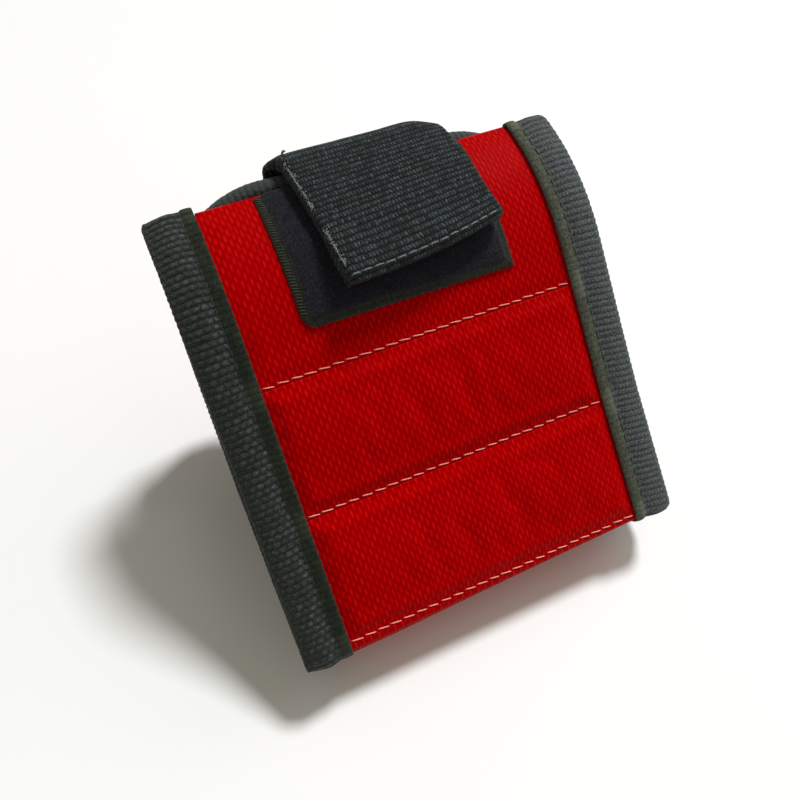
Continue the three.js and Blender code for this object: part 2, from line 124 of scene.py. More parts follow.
class recipe:
    # a node tree and short ways to add to it
    def __init__(self, owner, shader="Principled BSDF", **settings):
        owner.use_nodes = True
        self.owner, self.tree = owner, owner.node_tree
        self.shader = self.tree.nodes[shader]
        self.finish(**settings)

    def finish(self, **sockets):
        # feeds the shader; an underscore stands for a space
        for socket, value in sockets.items():
            self.feed(self.shader.inputs[socket.replace("_", " ")], value)
        return self.owner

    def feed(self, socket, value):
        if isinstance(value, bpy.types.NodeSocket):
            self.tree.links.new(value, socket)
        else:
            socket.default_value = value

    def node(self, kind, inputs=(), **settings):
        made = self.tree.nodes.new(kind)
        for key, value in settings.items():
            setattr(made, key, value)
        for socket, value in dict(inputs).items():
            self.feed(made.inputs[socket], value)
        return made

    def calc(self, operation, *values):
        return self.node("ShaderNodeMath", enumerate(values), operation=operation).outputs[0]

    def times(self, first, *others):
        for other in others:
            first = self.calc("MULTIPLY", first, other)
        return first

    def plus(self, first, second):
        return self.calc("ADD", first, second)

    def less(self, first, second):
        return self.calc("SUBTRACT", first, second)

    def power(self, value, exponent):
        return self.calc("POWER", value, exponent)

    def blend(self, share, low, high, kind="RGBA"):
        first, second, result = mixSockets[kind]
        inputs = {0: share, first: low, second: high}
        return self.node("ShaderNodeMix", inputs, data_type=kind).outputs[result]

    def tint(self, colour, share, strength, added):
        # some of another colour over the first
        return self.blend(self.times(share, strength), colour, added)

    def clothPlace(self):
        # the cloth's own coordinates in millimetres: both, across, along
        place = self.node("ShaderNodeUVMap", uv_map="clothPlace").outputs["UV"]
        parts = self.node("ShaderNodeSeparateXYZ", {"Vector": place})
        return place, parts.outputs["X"], parts.outputs["Y"]

    def noise(self, vector, scale, detail=2.0, roughness=0.5):
        inputs = {"Vector": vector, "Scale": scale, "Detail": detail, "Roughness": roughness}
        return self.node("ShaderNodeTexNoise", inputs).outputs["Fac"]

    def sway(self, vector, scale, reach, detail=2.0):
        # noise about zero
        return self.times(self.less(self.noise(vector, scale, detail), 0.5), reach)

    def strands(self, vector, scale, roughness, detail=3.0):
        # noise with a scale of its own in each direction
        stretched = self.node("ShaderNodeMapping", {"Vector": vector, "Scale": scale}).outputs["Vector"]
        return self.noise(stretched, 1.0, detail, roughness)

    def bump(self, height, distance, strength=1.0, under=None):
        inputs = {"Height": height, "Distance": distance * mm, "Strength": strength}
        if under is not None:
            inputs["Normal"] = under
        return self.node("ShaderNodeBump", inputs).outputs["Normal"]

    def chance(self, column, row):
        cell = self.node("ShaderNodeCombineXYZ", {"X": column, "Y": row}).outputs["Vector"]
        return self.node("ShaderNodeTexWhiteNoise", {"Vector": cell}, noise_dimensions="2D").outputs["Value"]

    def dome(self, share, power):
        # 1 in the middle of a cell, 0 at its borders
        off = self.calc("ABSOLUTE", self.less(share, 0.5))
        return self.less(1.0, self.power(self.times(off, 2.0), power))

    def within(self, value, low, high):
        # 0 below low, 1 above high, eased between
        inputs = {"Value": value, "From Min": low, "From Max": high}
        return self.node("ShaderNodeMapRange", inputs, interpolation_type="SMOOTHSTEP").outputs["Result"]

    def weave(self, across, along, look):
        # plain weave: long warp floats in columns, every other column a row further on
        u = self.calc("DIVIDE", across, look["warpPitch"])
        column = self.calc("FLOOR", u)
        v = self.calc("DIVIDE", self.plus(self.calc("DIVIDE", along, look["weftPitch"]), column), 2.0)
        reach = self.times(self.less(self.calc("FRACT", v), 0.5), look["warpGap"])
        middle = self.calc("MINIMUM", self.calc("ABSOLUTE", reach), 0.5)
        length = self.less(1.0, self.power(self.times(middle, 2.0), 2.2))
        side = self.dome(self.calc("FRACT", u), 1.8)
        lifted = self.plus(look["firmness"], self.times(length, 1.0 - look["firmness"]))
        return self.times(side, lifted), side, self.chance(column, self.calc("FLOOR", v))

    def bumps(self, across, along, look):
        # ribs across a tape, each a row of rounded bumps half a step off the next row's
        v = self.calc("DIVIDE", along, look["ribPitch"])
        row = self.calc("FLOOR", v)
        odd = self.times(self.calc("FLOORED_MODULO", row, 2.0), 0.5)
        u = self.plus(self.calc("DIVIDE", across, look["columnPitch"]), odd)
        bump = self.dome(self.calc("FRACT", u), 1.7)
        lifted = self.plus(1.0 - look["gap"], self.times(bump, look["gap"]))
        height = self.times(self.dome(self.calc("FRACT", v), 2.0), lifted)
        return height, self.chance(self.calc("FLOOR", u), row)


def mixed(name, **settings):
    return recipe(bpy.data.materials.new(name), **settings)


def tone(red, green, blue):
    # a screen colour, 0 to 255, as the linear colour that a shader takes
    shares = [value / 255 for value in (red, green, blue)]
    return (*(s / 12.92 if s <= 0.04045 else ((s + 0.055) / 1.055) ** 2.4 for s in shares), 1.0)


# materials

nylonLook = {
    "warpPitch": 0.89,
    "weftPitch": 1.25,
    "warpGap": 1.28,  # above 1, a gap shows between two floats
    "firmness": 0.12,  # how little a warp thread sinks where it passes under
    # painted shade: deep is the colour of the gaps between the floats; painted highlight: fleck goes on the
    # floats' crowns
    "deep": tone(159, 0, 1),
    "body": tone(185, 0, 2),
    "fleck": tone(240, 22, 28),
    "shine": tone(255, 60, 60),
    "depth": 0.085,
    "lift": 0.6,
    "blotches": 0.3,
}


def nylonWeave():
    look = nylonLook
    made = mixed("redNylon", Roughness=0.5, Specular_IOR_Level=0.03, Specular_Tint=look["shine"])
    place, across, along = made.clothPlace()
    across = made.plus(across, made.sway(place, 0.25, 0.7))
    height, side, chance = made.weave(across, along, look)
    strands = made.strands(place, (9.0, 1.1, 1.0), 0.6)
    # painted shade: the gaps between the floats are drawn in the deep red
    colour = made.blend(made.power(height, 0.75), look["deep"], look["body"])
    uneven = made.plus(0.15, made.times(chance, look["lift"]))
    # painted highlight: lit marks each float's crown, drawn below in the fleck colour
    lit = made.times(made.power(height, 2.0), made.power(side, 5.0), uneven, made.plus(0.5, strands))
    colour = made.blend(lit, colour, look["fleck"])
    # large soft blotches, drawn towards the deep red
    colour = made.tint(colour, made.noise(place, 0.07, 3.0), look["blotches"], look["deep"])
    relief = made.plus(height, made.times(strands, 0.2))
    rough = made.blend(strands, 0.35, 0.55, "FLOAT")
    return made.finish(Base_Color=colour, Normal=made.bump(relief, look["depth"], 0.9), Roughness=rough)


# painted shade: the left tape's look, drawn much darker than the right tape's; the two are shaded and lit
# copies of one tape. The other looks start from this one
tapeLook = {
    "ribPitch": 1.36,
    "columnPitch": 1.6,
    "gap": 0.78,
    # valley: painted shade between the bumps, also the colour of dark specks; fleck: painted highlight on
    # the bumps' crowns, also the colour of light specks and hairs
    "valley": tone(12, 14, 11),
    "body": tone(33, 41, 38),
    "green": tone(27, 34, 22),
    "side": tone(30, 32, 22),  # the outer side, beyond the crown, where it slopes away: painted shade
    "fleck": tone(112, 126, 120),
    "lift": 1.3,
    "depth": 0.28,
    "fuzz": 0.6,
    "grain": 0.45,  # share of the light and dark specks
}
tapeLooks = {
    "left": tapeLook,
    # painted light: the right tape, drawn lighter as the lit copy of the left
    "right": {
        **tapeLook,
        "columnPitch": 0.8,
        "gap": 0.45,
        "valley": tone(42, 45, 48),
        "body": tone(72, 78, 82),
        "green": tone(72, 76, 68),
        "side": tone(62, 70, 76),
        "fleck": tone(134, 140, 144),
        "lift": 0.8,
        "depth": 0.16,
        "fuzz": 1.5,
        "grain": 0.9,
    },
    "plain": {
        **tapeLook,
        "columnPitch": 1.1,
        "gap": 0.5,
        "valley": tone(34, 38, 37),
        "body": tone(52, 58, 58),
        "green": tone(48, 53, 44),
        "side": tone(48, 54, 52),
        "lift": 0.6,
        "depth": 0.18,
        "fuzz": 1.0,
    },
}
innerLooks = {
    "plain": {**tapeLooks["plain"], "body": tone(48, 53, 42), "gap": 0.3, "depth": 0.1, "fuzz": 1.2},
    # painted shade: the left inner strip, drawn darker than the right's lit copy
    "left": {
        **tapeLook,
        "columnPitch": 0.8,
        "gap": 0.3,
        "valley": tone(18, 22, 14),
        "body": tone(24, 29, 19),
        "fleck": tone(70, 82, 58),
        "depth": 0.12,
        "fuzz": 0.9,
    },
    # painted light: the right inner strip, the lit copy
    "right": {
        **tapeLooks["right"],
        "valley": tone(66, 70, 58),
        "body": tone(74, 78, 66),
        "green": tone(82, 84, 70),
        "fleck": tone(146, 150, 132),
        "depth": 0.08,
        "fuzz": 1.4,
    },
}


def tapeRibs(name, look):
    made = mixed(name, Roughness=0.8, Specular_IOR_Level=0.2, Sheen_Weight=0.05, Sheen_Roughness=0.5)
    place, across, along = made.clothPlace()
    column = made.plus(across, made.sway(place, 0.5, 0.5))
    height, chance = made.bumps(column, made.plus(along, made.sway(place, 0.9, 0.35, 1.0)), look)
    yarn = made.strands(place, (6.0, 1.8, 1.0), 0.65)
    body = made.blend(made.noise(place, 0.5, 3.0, 0.7), look["body"], look["green"])
    # painted shade: the outer side, sloping away beyond the crown, is drawn in the darker side colour
    body = made.blend(made.within(across, 7.6, 9.4), body, look["side"])
    # painted shade: the valleys between the bumps are drawn in the valley colour
    colour = made.blend(made.power(height, 0.8), look["valley"], body)
    # painted highlight: lit puts the fleck colour on the bumps' crowns
    lit = made.times(made.power(height, 1.8), made.times(chance, made.within(yarn, 0.4, 0.62)))
    # the painted highlights are left off the outer side
    lit = made.times(lit, made.less(1.0, made.within(across, 7.2, 9.0)))
    colour = made.tint(colour, lit, look["lift"] * 0.5, look["fleck"])
    dark = made.within(made.strands(place, (1.7, 2.3, 1.0), 0.7, 2.0), 0.5, 0.6)
    light = made.within(made.strands(place, (2.1, 2.9, 1.0), 0.7, 2.0), 0.54, 0.66)
    colour = made.tint(colour, dark, look["grain"], look["valley"])
    colour = made.tint(colour, light, look["grain"] * 0.5, look["fleck"])
    hairs = made.noise(place, 6.0, 4.0, 0.75)
    colour = made.tint(colour, made.within(hairs, 0.5, 0.75), look["fuzz"] * 0.35, look["fleck"])
    relief = made.plus(height, made.times(yarn, 0.35))
    under = made.bump(hairs, 0.06, min(1.0, look["fuzz"]))
    return made.finish(Base_Color=colour, Normal=made.bump(relief, look["depth"], 0.9, under))


webLook = {
    "ribPitch": 1.2,
    "columnPitch": 0.74,
    "gap": 0.7,
    # valley: painted shade in the gaps between the ribs' bumps; fleck: painted highlight on the bumps, also
    # the colour of the hairs
    "valley": tone(2, 3, 3),
    "body": tone(17, 20, 26),
    "green": tone(21, 26, 16),
    "fleck": tone(112, 124, 130),
    "paintedHighlightShare": 0.85,
    "depth": 0.22,
    "hairs": 0.14,
}


def strapWebbing():
    look = webLook
    made = mixed("strapWebbing", Roughness=0.75, Specular_IOR_Level=0.08, Sheen_Weight=0.03)
    place, across, along = made.clothPlace()
    column = made.plus(across, made.sway(place, 0.5, 0.4))
    height, chance = made.bumps(column, made.plus(along, made.sway(place, 0.8, 0.5, 1.0)), look)
    yarn = made.strands(place, (5.0, 2.2, 1.0), 0.65)
    heather = made.within(made.noise(place, 0.4, 4.0, 0.75), 0.35, 0.62)
    body = made.blend(heather, look["body"], look["green"])
    # painted shade: the gaps between the bumps are drawn nearly black
    colour = made.blend(made.power(height, 0.8), look["valley"], body)
    uneven = made.plus(0.12, made.times(chance, 0.75))
    # painted highlight: lit puts the fleck colour on the bumps' crowns
    lit = made.times(made.power(height, 1.3), made.times(uneven, made.within(yarn, 0.38, 0.64)))
    colour = made.tint(colour, lit, look["paintedHighlightShare"], look["fleck"])
    hairs = made.noise(place, 6.0, 4.0, 0.75)
    colour = made.tint(colour, made.within(hairs, 0.5, 0.75), look["hairs"], look["fleck"])
    relief = made.plus(height, made.times(yarn, 0.4))
    under = made.bump(hairs, 0.05, 0.8)
    return made.finish(Base_Color=colour, Normal=made.bump(relief, look["depth"], 0.9, under))


loopLook = {
    "pile": (tone(6, 6, 13), tone(46, 42, 58)),
    "selvage": (tone(15, 17, 14), tone(66, 68, 58)),
    "border": 1.8,
    "dust": tone(92, 94, 78),  # light hairs caught in the pile
    "dustShare": 0.4,
    "depth": 0.35,
}


def loopPile(name, deep, light):
    made = mixed(name, Roughness=0.95, Specular_IOR_Level=0.1, Sheen_Weight=0.04, Sheen_Roughness=0.7)
    place, _, _ = made.clothPlace()
    tuft = made.noise(place, 1.6, 4.0, 0.8)
    hair = made.strands(place, (6.0, 3.0, 1.0), 0.7)
    colour = made.blend(made.less(made.times(tuft, hair, 3.4), 0.45), deep, light)
    dust = made.within(made.strands(place, (2.4, 1.9, 1.0), 0.75), 0.54, 0.68)
    colour = made.tint(colour, dust, loopLook["dustShare"], loopLook["dust"])
    return made.finish(Base_Color=colour, Normal=made.bump(made.plus(tuft, hair), loopLook["depth"], 0.9))


liningLook = {
    "columnPitch": 1.1,
    "ribPitch": 0.8,
    "gap": 0.75,
    "deep": tone(8, 9, 10),
    "body": tone(46, 50, 54),
    "fleck": tone(80, 86, 90),
}


def liningKnit():
    look = liningLook
    made = mixed("liningKnit", Roughness=0.85, Specular_IOR_Level=0.2, Sheen_Weight=0.06)
    place, across, along = made.clothPlace()
    height, chance = made.bumps(across, along, look)
    colour = made.blend(made.power(height, 0.6), look["deep"], look["body"])
    colour = made.tint(colour, chance, 0.2, look["fleck"])
    under = made.bump(made.noise(place, 5.0, 3.0, 0.6), 0.05, 0.6)
    return made.finish(Base_Color=colour, Normal=made.bump(height, 0.2, 0.8, under))


def sewingThread(name, light, dark):
    made = mixed(name, Roughness=0.55, Specular_IOR_Level=0.25)
    place, around, along = made.clothPlace()
    twist = made.plus(made.times(along, 1.8), made.times(around, 0.6))
    ply = made.calc("ABSOLUTE", made.calc("SINE", made.times(twist, math.pi)))
    colour = made.blend(made.power(ply, 0.6), dark, light)
    colour = made.tint(colour, made.noise(place, 0.35, 3.0), 0.25, dark)
    return made.finish(Base_Color=colour, Normal=made.bump(ply, 0.08, 0.9))


def foamCells():
    made = mixed("foamCells", Roughness=0.95)
    place = made.node("ShaderNodeTexCoord").outputs["Object"]
    cells = made.node("ShaderNodeTexVoronoi", {"Vector": place, "Scale": 1600.0}).outputs["Distance"]
    colour = made.blend(cells, tone(40, 42, 45), tone(92, 96, 100))
    return made.finish(Base_Color=colour, Normal=made.bump(cells, 0.2, 0.7))


def magnetNickel():
    made = mixed("magnetNickel", Metallic=1.0)
    place = made.node("ShaderNodeTexCoord").outputs["Object"]
    scuffs = made.strands(place, (900.0, 260.0, 900.0), 0.7, 4.0)
    colour = made.blend(scuffs, tone(176, 178, 180), tone(224, 225, 228))
    return made.finish(Base_Color=colour, Roughness=made.blend(scuffs, 0.16, 0.42, "FLOAT"))


def hookPlastic():
    made = mixed("hookPlastic", Roughness=0.5, Specular_IOR_Level=0.4)
    dust = made.noise(made.clothPlace()[0], 1.5, 4.0, 0.7)
    colour = made.blend(dust, tone(12, 13, 16), tone(40, 42, 48))
    return made.finish(Base_Color=colour, Normal=made.bump(dust, 0.05, 0.5))


threadTones = {
    "rowThread": (tone(255, 190, 174), tone(244, 124, 112)),
    "darkThread": (tone(60, 70, 66), tone(16, 20, 20)),
    "greyThread": (tone(128, 136, 138), tone(52, 58, 62)),
    "greenThread": (tone(92, 100, 84), tone(30, 36, 26)),
    "lintFluff": (tone(168, 176, 166), tone(104, 112, 100)),
}
redNylon = nylonWeave()
tapes = {side: tapeRibs(f"{side}Tape", look) for side, look in tapeLooks.items()}
innerTapes = {side: tapeRibs(f"{side}InnerTape", look) for side, look in innerLooks.items()}
strapWeb = strapWebbing()
patchPile = loopPile("loopPile", *loopLook["pile"])
patchSelvage = loopPile("patchSelvage", *loopLook["selvage"])
bandLining = liningKnit()
threads = {name: sewingThread(name, *tones) for name, tones in threadTones.items()}
hookBlack = hookPlastic()
innerMaterials = {"foam": foamCells(), "magnet": magnetNickel()}
innerMaterials["pad"] = innerMaterials["foam"]
for node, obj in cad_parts.items():
    kind = node.split("_")[0]
    if kind in innerMaterials:
        obj.data.materials.clear()
        obj.data.materials.append(innerMaterials[kind])
print("materials mixed")

# the band's line, in millimetres, as the frame has it


def arcLength(radius, turn):
    return radius * math.radians(abs(turn))


def makeLine(start, heading, runs):
    # each run: where it begins, its length, how far it turns, and its start and heading
    y, z = start
    heading = math.radians(heading)
    begin = 0.0
    rows = []
    for length, turn in runs:
        turn = math.radians(turn)
        rows.append((begin, length, turn, y, z, heading))
        chord = length * np.sinc(turn / 2 / math.pi)
        y += chord * math.cos(heading + turn / 2)
        z += chord * math.sin(heading + turn / 2)
        heading += turn
        begin += length
    return np.array(rows)


bandCourse = {
    "start": (35.4014, 62.5232),  # the flap's free edge
    "heading": 182.0,
    "pocket": 27.4,  # from one stitch row to the next
    "flapCurve": 28.3,
    "flapStraight": 8.7,
    "under": 21.6,
    "tongue": 43.1725,
    "softRadius": 40.0,
    "foldRadius": 3.5,
    "rowRadius": 4.0,
    "flapTurn": 36.0,
    "softTurn": -2.6,
    "foldTurn": 125.9,
    "backTurn": 39.5916,
    "lean": 76.0,  # the tongue's slope from level
}


def bandRuns():
    # each run's length and turn, from the flap's free edge to the tongue's end
    course, pocket = bandCourse, bandCourse["pocket"]
    underTurn = 360 - sum(course[part] for part in ("heading", "flapTurn", "softTurn", "foldTurn"))
    topTurn = course["lean"] - course["backTurn"]
    soft = arcLength(course["softRadius"], course["softTurn"])
    fold = arcLength(course["foldRadius"], course["foldTurn"])
    turns = (underTurn, course["backTurn"], topTurn)
    under, back, top = (arcLength(course["rowRadius"], turn) for turn in turns)
    return [
        (course["flapCurve"], course["flapTurn"]),
        (course["flapStraight"] + pocket - soft / 2, 0.0),
        (soft, course["softTurn"]),
        (pocket - soft / 2, 0.0),
        (fold, course["foldTurn"]),
        (course["under"], 0.0),
        (under, underTurn),
        (pocket - under / 2, 0.0),
        (back, course["backTurn"]),
        (pocket - back, 0.0),
        (top, topTurn),
        (course["tongue"], 0.0),
    ]


bandLine = makeLine(bandCourse["start"], bandCourse["heading"], bandRuns())
band = {
    "width": 90.0,
    "rowOne": bandCourse["flapCurve"] + bandCourse["flapStraight"],
    "rowThree": bandLine[4, 0],  # where the fold's run begins
    "foldEnd": bandLine[5, 0],
    "rowFour": bandLine[6, 0] + bandLine[6, 1] / 2,
    "rowSix": bandLine[10, 0],
    "end": bandLine[-1, 0] + bandLine[-1, 1],
    "cornerRadius": 25.0,
    "edgeInset": 1.1,
    "bindingWidth": 9.8,
    "coverThickness": 0.8,
    "liningTop": -1.1,
    "liningThickness": 0.8,
}
band["rowTwo"] = band["rowOne"] + bandCourse["pocket"]
band["rowFive"] = band["rowFour"] + bandCourse["pocket"]
band["cornerStart"] = band["end"] - band["cornerRadius"]
band["innerX"] = band["width"] / 2 - band["bindingWidth"]
foldShape = {
    "from": 91.6,
    "to": 101.5,
    "tuck": 0.4,
    "sideTuck": 1.5,  # more towards the right end
    "sideFrom": -25.0,
    "sideReach": 60.0,
    "depth": 3.6,
}


def lineAt(line, distance):
    d = np.asarray(distance, float)
    i = np.clip(np.searchsorted(line[:, 0], d, side="right") - 1, 0, len(line) - 1)
    begin, length, turn, y, z, heading = line[i].transpose(-1, *range(d.ndim))
    along = d - begin
    inside = np.clip(along, 0, length)
    outside = along - inside
    bent = turn * inside / length
    chord = inside * np.sinc(bent / 2 / math.pi)
    middle = heading + bent / 2
    after = heading + bent
    y = y + chord * np.cos(middle) + outside * np.cos(after)
    z = z + chord * np.sin(middle) + outside * np.sin(after)
    return y, z, after


def linePoint(line, distance, x, out):
    # points in metres: along the line, across it, and out of its outer side
    distance, x, out = np.broadcast_arrays(distance, x, out)
    y, z, heading = lineAt(line, distance)
    return np.stack([x, y + out * np.sin(heading), z - out * np.cos(heading)], axis=-1) * mm


def foldShare(distance):
    # 1 in the middle of the fold under the face, 0 outside it
    d = np.asarray(distance, float)
    share = np.clip((d - foldShape["from"]) / (foldShape["to"] - foldShape["from"]), 0, 1)
    return np.sin(math.pi * share) ** 2


def bandPoint(distance, x, out):
    # the fold is pressed flatter towards its right end
    fold = foldShape
    distance, x, out = np.broadcast_arrays(np.asarray(distance, float), x, out)
    side = np.clip((x - fold["sideFrom"]) / fold["sideReach"], 0, 1)
    depth = np.clip((out + fold["depth"]) / fold["depth"], 0, 1)
    tuck = (fold["tuck"] + fold["sideTuck"] * side) * foldShare(distance) * depth
    return linePoint(bandLine, distance, x, out - tuck)


def halfWidth(distance, inset):
    # the tongue's corners are round
    past = np.clip(np.asarray(distance, float) - band["cornerStart"], 0, None)
    radius = band["cornerRadius"] - inset
    rounded = np.sqrt(np.clip(radius * radius - past * past, 0, None))
    return band["width"] / 2 - band["cornerRadius"] + rounded


# mesh helpers


def finishMesh(name, verts, faces, uvs, material):
    mesh = bpy.data.meshes.new(name)
    mesh.from_pydata(np.asarray(verts, float).reshape(-1, 3).tolist(), [], faces)
    layer = mesh.uv_layers.new(name="clothPlace")
    layer.data.foreach_set("uv", np.asarray(uvs, np.float32).ravel())
    mesh.polygons.foreach_set("use_smooth", [True] * len(mesh.polygons))
    mesh.materials.append(material)
    mesh.validate()
    return addObject(name, mesh)


def ringMesh(name, rings, across, along, material, second=None, onSecond=None):
    # rings: stations by points round a closed section; ends are closed with one face each
    stations, around, _ = rings.shape
    along = np.asarray(along, float)
    if along.ndim == 1:
        along = along[:, None]
    place = np.stack(np.broadcast_arrays(across, along), axis=-1)
    index = np.arange(stations * around).reshape(stations, around)
    nextOne = np.roll(index, -1, axis=1)
    faces = np.stack([index[:-1], index[1:], nextOne[1:], nextOne[:-1]], axis=-1).reshape(-1, 4).tolist()
    faces += [index[0].tolist(), index[-1, ::-1].tolist()]
    corners = np.stack([place[:-1, :-1], place[1:, :-1], place[1:, 1:], place[:-1, 1:]], axis=2)
    uvs = np.concatenate([corners.reshape(-1, 2), place[0, :-1], place[-1, :-1][::-1]])
    obj = finishMesh(name, rings, faces, uvs, material)
    for end in (-1, -2):
        obj.data.polygons[end].use_smooth = False
    if second is not None:
        obj.data.materials.append(second)
        chosen = np.broadcast_to(onSecond, (stations - 1, around)).ravel()
        picked = np.zeros(len(obj.data.polygons), np.int32)
        picked[: chosen.size] = chosen
        obj.data.polygons.foreach_set("material_index", picked)
    turnOutwards(obj)
    return obj


def turnOutwards(obj):
    # for a closed mesh that came out inside out
    work = bmesh.new()
    work.from_mesh(obj.data)
    if work.calc_volume(signed=True) < 0:
        bmesh.ops.reverse_faces(work, faces=work.faces)
        work.to_mesh(obj.data)
    work.free()


def sheetRings(distances, xs, top, thickness, place=bandPoint):
    # a cloth's closed section at each distance: its face from left to right, its underside back
    face = place(distances[:, None], xs, top)
    under = place(distances[:, None], xs, top - thickness)
    return np.concatenate([face, under[:, ::-1]], axis=1)


def sheetAcross(xs):
    return np.concatenate([xs, xs[:, ::-1], xs[:, :1]], axis=1)


def declare(piece, body=None, node=None):
    # what carries a piece, and which CAD node it stands for
    if body:
        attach(piece, body)
    if node:
        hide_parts(node)


def steps(start, end, pitch):
    return np.linspace(start, end, max(2, int(round((end - start) / pitch)) + 1))


def easeShare(value, low, high):
    share = np.clip((np.asarray(value, float) - low) / (high - low), 0, 1)
    return share * share * (3 - 2 * share)


def smoothNoise(seed, shape, reach):
    # seeded noise on a grid, softened over a reach of cells; from -1 to 1
    grid = np.random.default_rng(seed).standard_normal(shape)
    kernel = np.hanning(2 * reach + 3)[1:-1]
    kernel /= kernel.sum()
    for axis in (0, 1):
        grid = np.apply_along_axis(lambda row: np.convolve(row, kernel, mode="same"), axis, grid)
    return grid / np.abs(grid).max()


def sectionLengths(section):
    # how far round a closed section each of its points lies, and its whole length
    parts = np.hypot(*np.diff(np.vstack([section[:, :2], section[:1, :2]]), axis=0).T)
    return np.concatenate([[0], np.cumsum(parts)])


# pockets: the cover's crown comes from a swollen panel

pocketSwell = {
    "columns": 88,
    "rows": 30,
    "scale": 10.0,  # the panel is simulated ten times full size
    "frames": 22,
    "uneven": 0.15,
    "flatten": 0.8,
    "highest": 1.25,
    "frontPuff": 1.6,
    "flapPuff": 0.5,
    "liningPuff": 1.2,
    "plateEdge": 3.2,  # the foam starts this far in, and the cloth clears it from there
    "plateShare": 0.66,
}
pocketCloth = {
    "quality": 8,
    "mass": 0.25,
    "tension_stiffness": 20,
    "compression_stiffness": 8,
    "bending_stiffness": 1.2,
    "vertex_group_mass": "seam",
    "shrink_min": -0.05,  # the panel's slack
    "use_pressure": True,
    "uniform_pressure_force": 3.2,
}
pocketSpans = {
    "flap": (-0.4, 36.3),
    "upper": (37.5, 63.8),
    "lower": (64.9, 91.2),
    "under": (99.5, 120.6),
    "base": (122.4, 148.6),
    "back": (151.9, 176.0),
    "tongue": (179.1, 212.0),
}


def swellPanel(name, width, length, seed):
    # a flat panel sewn down round its edge and blown up; returns its height, 0 to about 1
    look = pocketSwell
    rows, columns = look["rows"], look["columns"]
    scale = look["scale"] * mm
    xs = np.linspace(-width / 2, width / 2, columns) * scale
    ys = np.linspace(-length / 2, length / 2, rows) * scale
    start = smoothNoise(seed, (rows, columns), 2) * look["uneven"] * scale
    verts = np.stack([*np.meshgrid(xs, ys), start], axis=-1).reshape(-1, 3)
    index = np.arange(rows * columns).reshape(rows, columns)
    faces = np.stack([index[:-1, :-1], index[:-1, 1:], index[1:, 1:], index[1:, :-1]], axis=-1)
    mesh = bpy.data.meshes.new(name)
    mesh.from_pydata(verts.tolist(), [], faces.reshape(-1, 4).tolist())
    panel = addObject(name, mesh)
    edge = np.ones((rows, columns), bool)
    edge[1:-1, 1:-1] = False
    panel.vertex_groups.new(name="seam").add(index[edge].tolist(), 1.0, "REPLACE")
    cloth = panel.modifiers.new("cloth", "CLOTH")
    for key, value in pocketCloth.items():
        setattr(cloth.settings, key, value)
    cloth.settings.effector_weights.gravity = 0
    cloth.collision_settings.use_collision = False
    cloth.point_cache.frame_start = 1
    cloth.point_cache.frame_end = look["frames"]
    scene = bpy.context.scene
    for number in range(1, look["frames"] + 1):
        scene.frame_set(number)
    shaped = panel.evaluated_get(bpy.context.evaluated_depsgraph_get())
    height = np.array([v.co.z for v in shaped.data.vertices]).reshape(rows, columns) / scale
    scene.frame_set(1)
    bpy.data.objects.remove(panel)
    height = height / np.percentile(np.abs(height), 90)
    if height.mean() < 0:
        height = -height
    return np.clip(height, 0, look["highest"]) ** look["flatten"]


def sampleGrid(grid, t, s):
    # a grid's value at shares t along its rows and s along its columns
    rows, columns = grid.shape
    a = np.clip(t, 0, 1) * (rows - 1)
    b = np.clip(s, 0, 1) * (columns - 1)
    i = np.clip(a.astype(int), 0, rows - 2)
    j = np.clip(b.astype(int), 0, columns - 2)
    a, b = a - i, b - j
    low = grid[i, j] * (1 - b) + grid[i, j + 1] * b
    high = grid[i + 1, j] * (1 - b) + grid[i + 1, j + 1] * b
    return low * (1 - a) + high * a


pocketList = []
for number, (name, (start, end)) in enumerate(pocketSpans.items()):
    pocket = {"from": start, "to": end, "out": pocketSwell["flapPuff" if name == "flap" else "frontPuff"]}
    for side in ("cover", "lining"):
        pocket[side] = swellPanel(f"{name}Panel", 2 * band["innerX"], end - start, 10 * number + len(side))
    pocketList.append(pocket)
    print("pocket swollen:", name)


def pocketHeight(distances, xs, side):
    # how far the cloth stands out over the pockets at each point of a grid
    d = np.broadcast_to(distances[:, None], xs.shape)
    height = np.zeros(xs.shape)
    reach = halfWidth(d, band["bindingWidth"])
    s = (xs / np.maximum(reach, 1) + 1) / 2
    for pocket in pocketList:
        inside = (d > pocket["from"]) & (d < pocket["to"])
        t = (d - pocket["from"]) / (pocket["to"] - pocket["from"])
        grid = np.where((s <= 0) | (s >= 1), 0, sampleGrid(pocket[side], t, s))
        size = pocket["out"] if side == "cover" else pocketSwell["liningPuff"]
        edge = np.minimum.reduce([d - pocket["from"], pocket["to"] - d, reach - np.abs(xs)])
        least = pocketSwell["plateShare"] * easeShare(edge, 0, pocketSwell["plateEdge"])
        height = np.where(inside, np.maximum(grid, least) * size, height)
    return height


# cover and lining

clothGrid = {
    "across": 0.9,
    "along": 0.55,
    "pucker": 0.1,
    "puckerReach": 1.6,
    "stitch": 2.9,
    "loose": 0.12,
    "looseReach": 9,
    "endGap": 0.2,
}
flapHem = {
    "depth": 7.0,
    "radius": 1.5,
    "steps": 14,
    "pitch": 1.5,
    "reach": 1.4,
    "inset": 0.3,
    "hold": 0.8,  # the face keeps the hem's width this far
}
panelSpans = {
    "flap": (0.3, band["rowOne"]),
    "upper": (band["rowOne"], band["rowTwo"]),
    "lower": (band["rowTwo"], band["rowThree"]),
    "base": (band["rowThree"], band["end"] - band["edgeInset"] - clothGrid["endGap"]),
}
acrossShares = np.linspace(-1, 1, int(band["width"] / clothGrid["across"]))


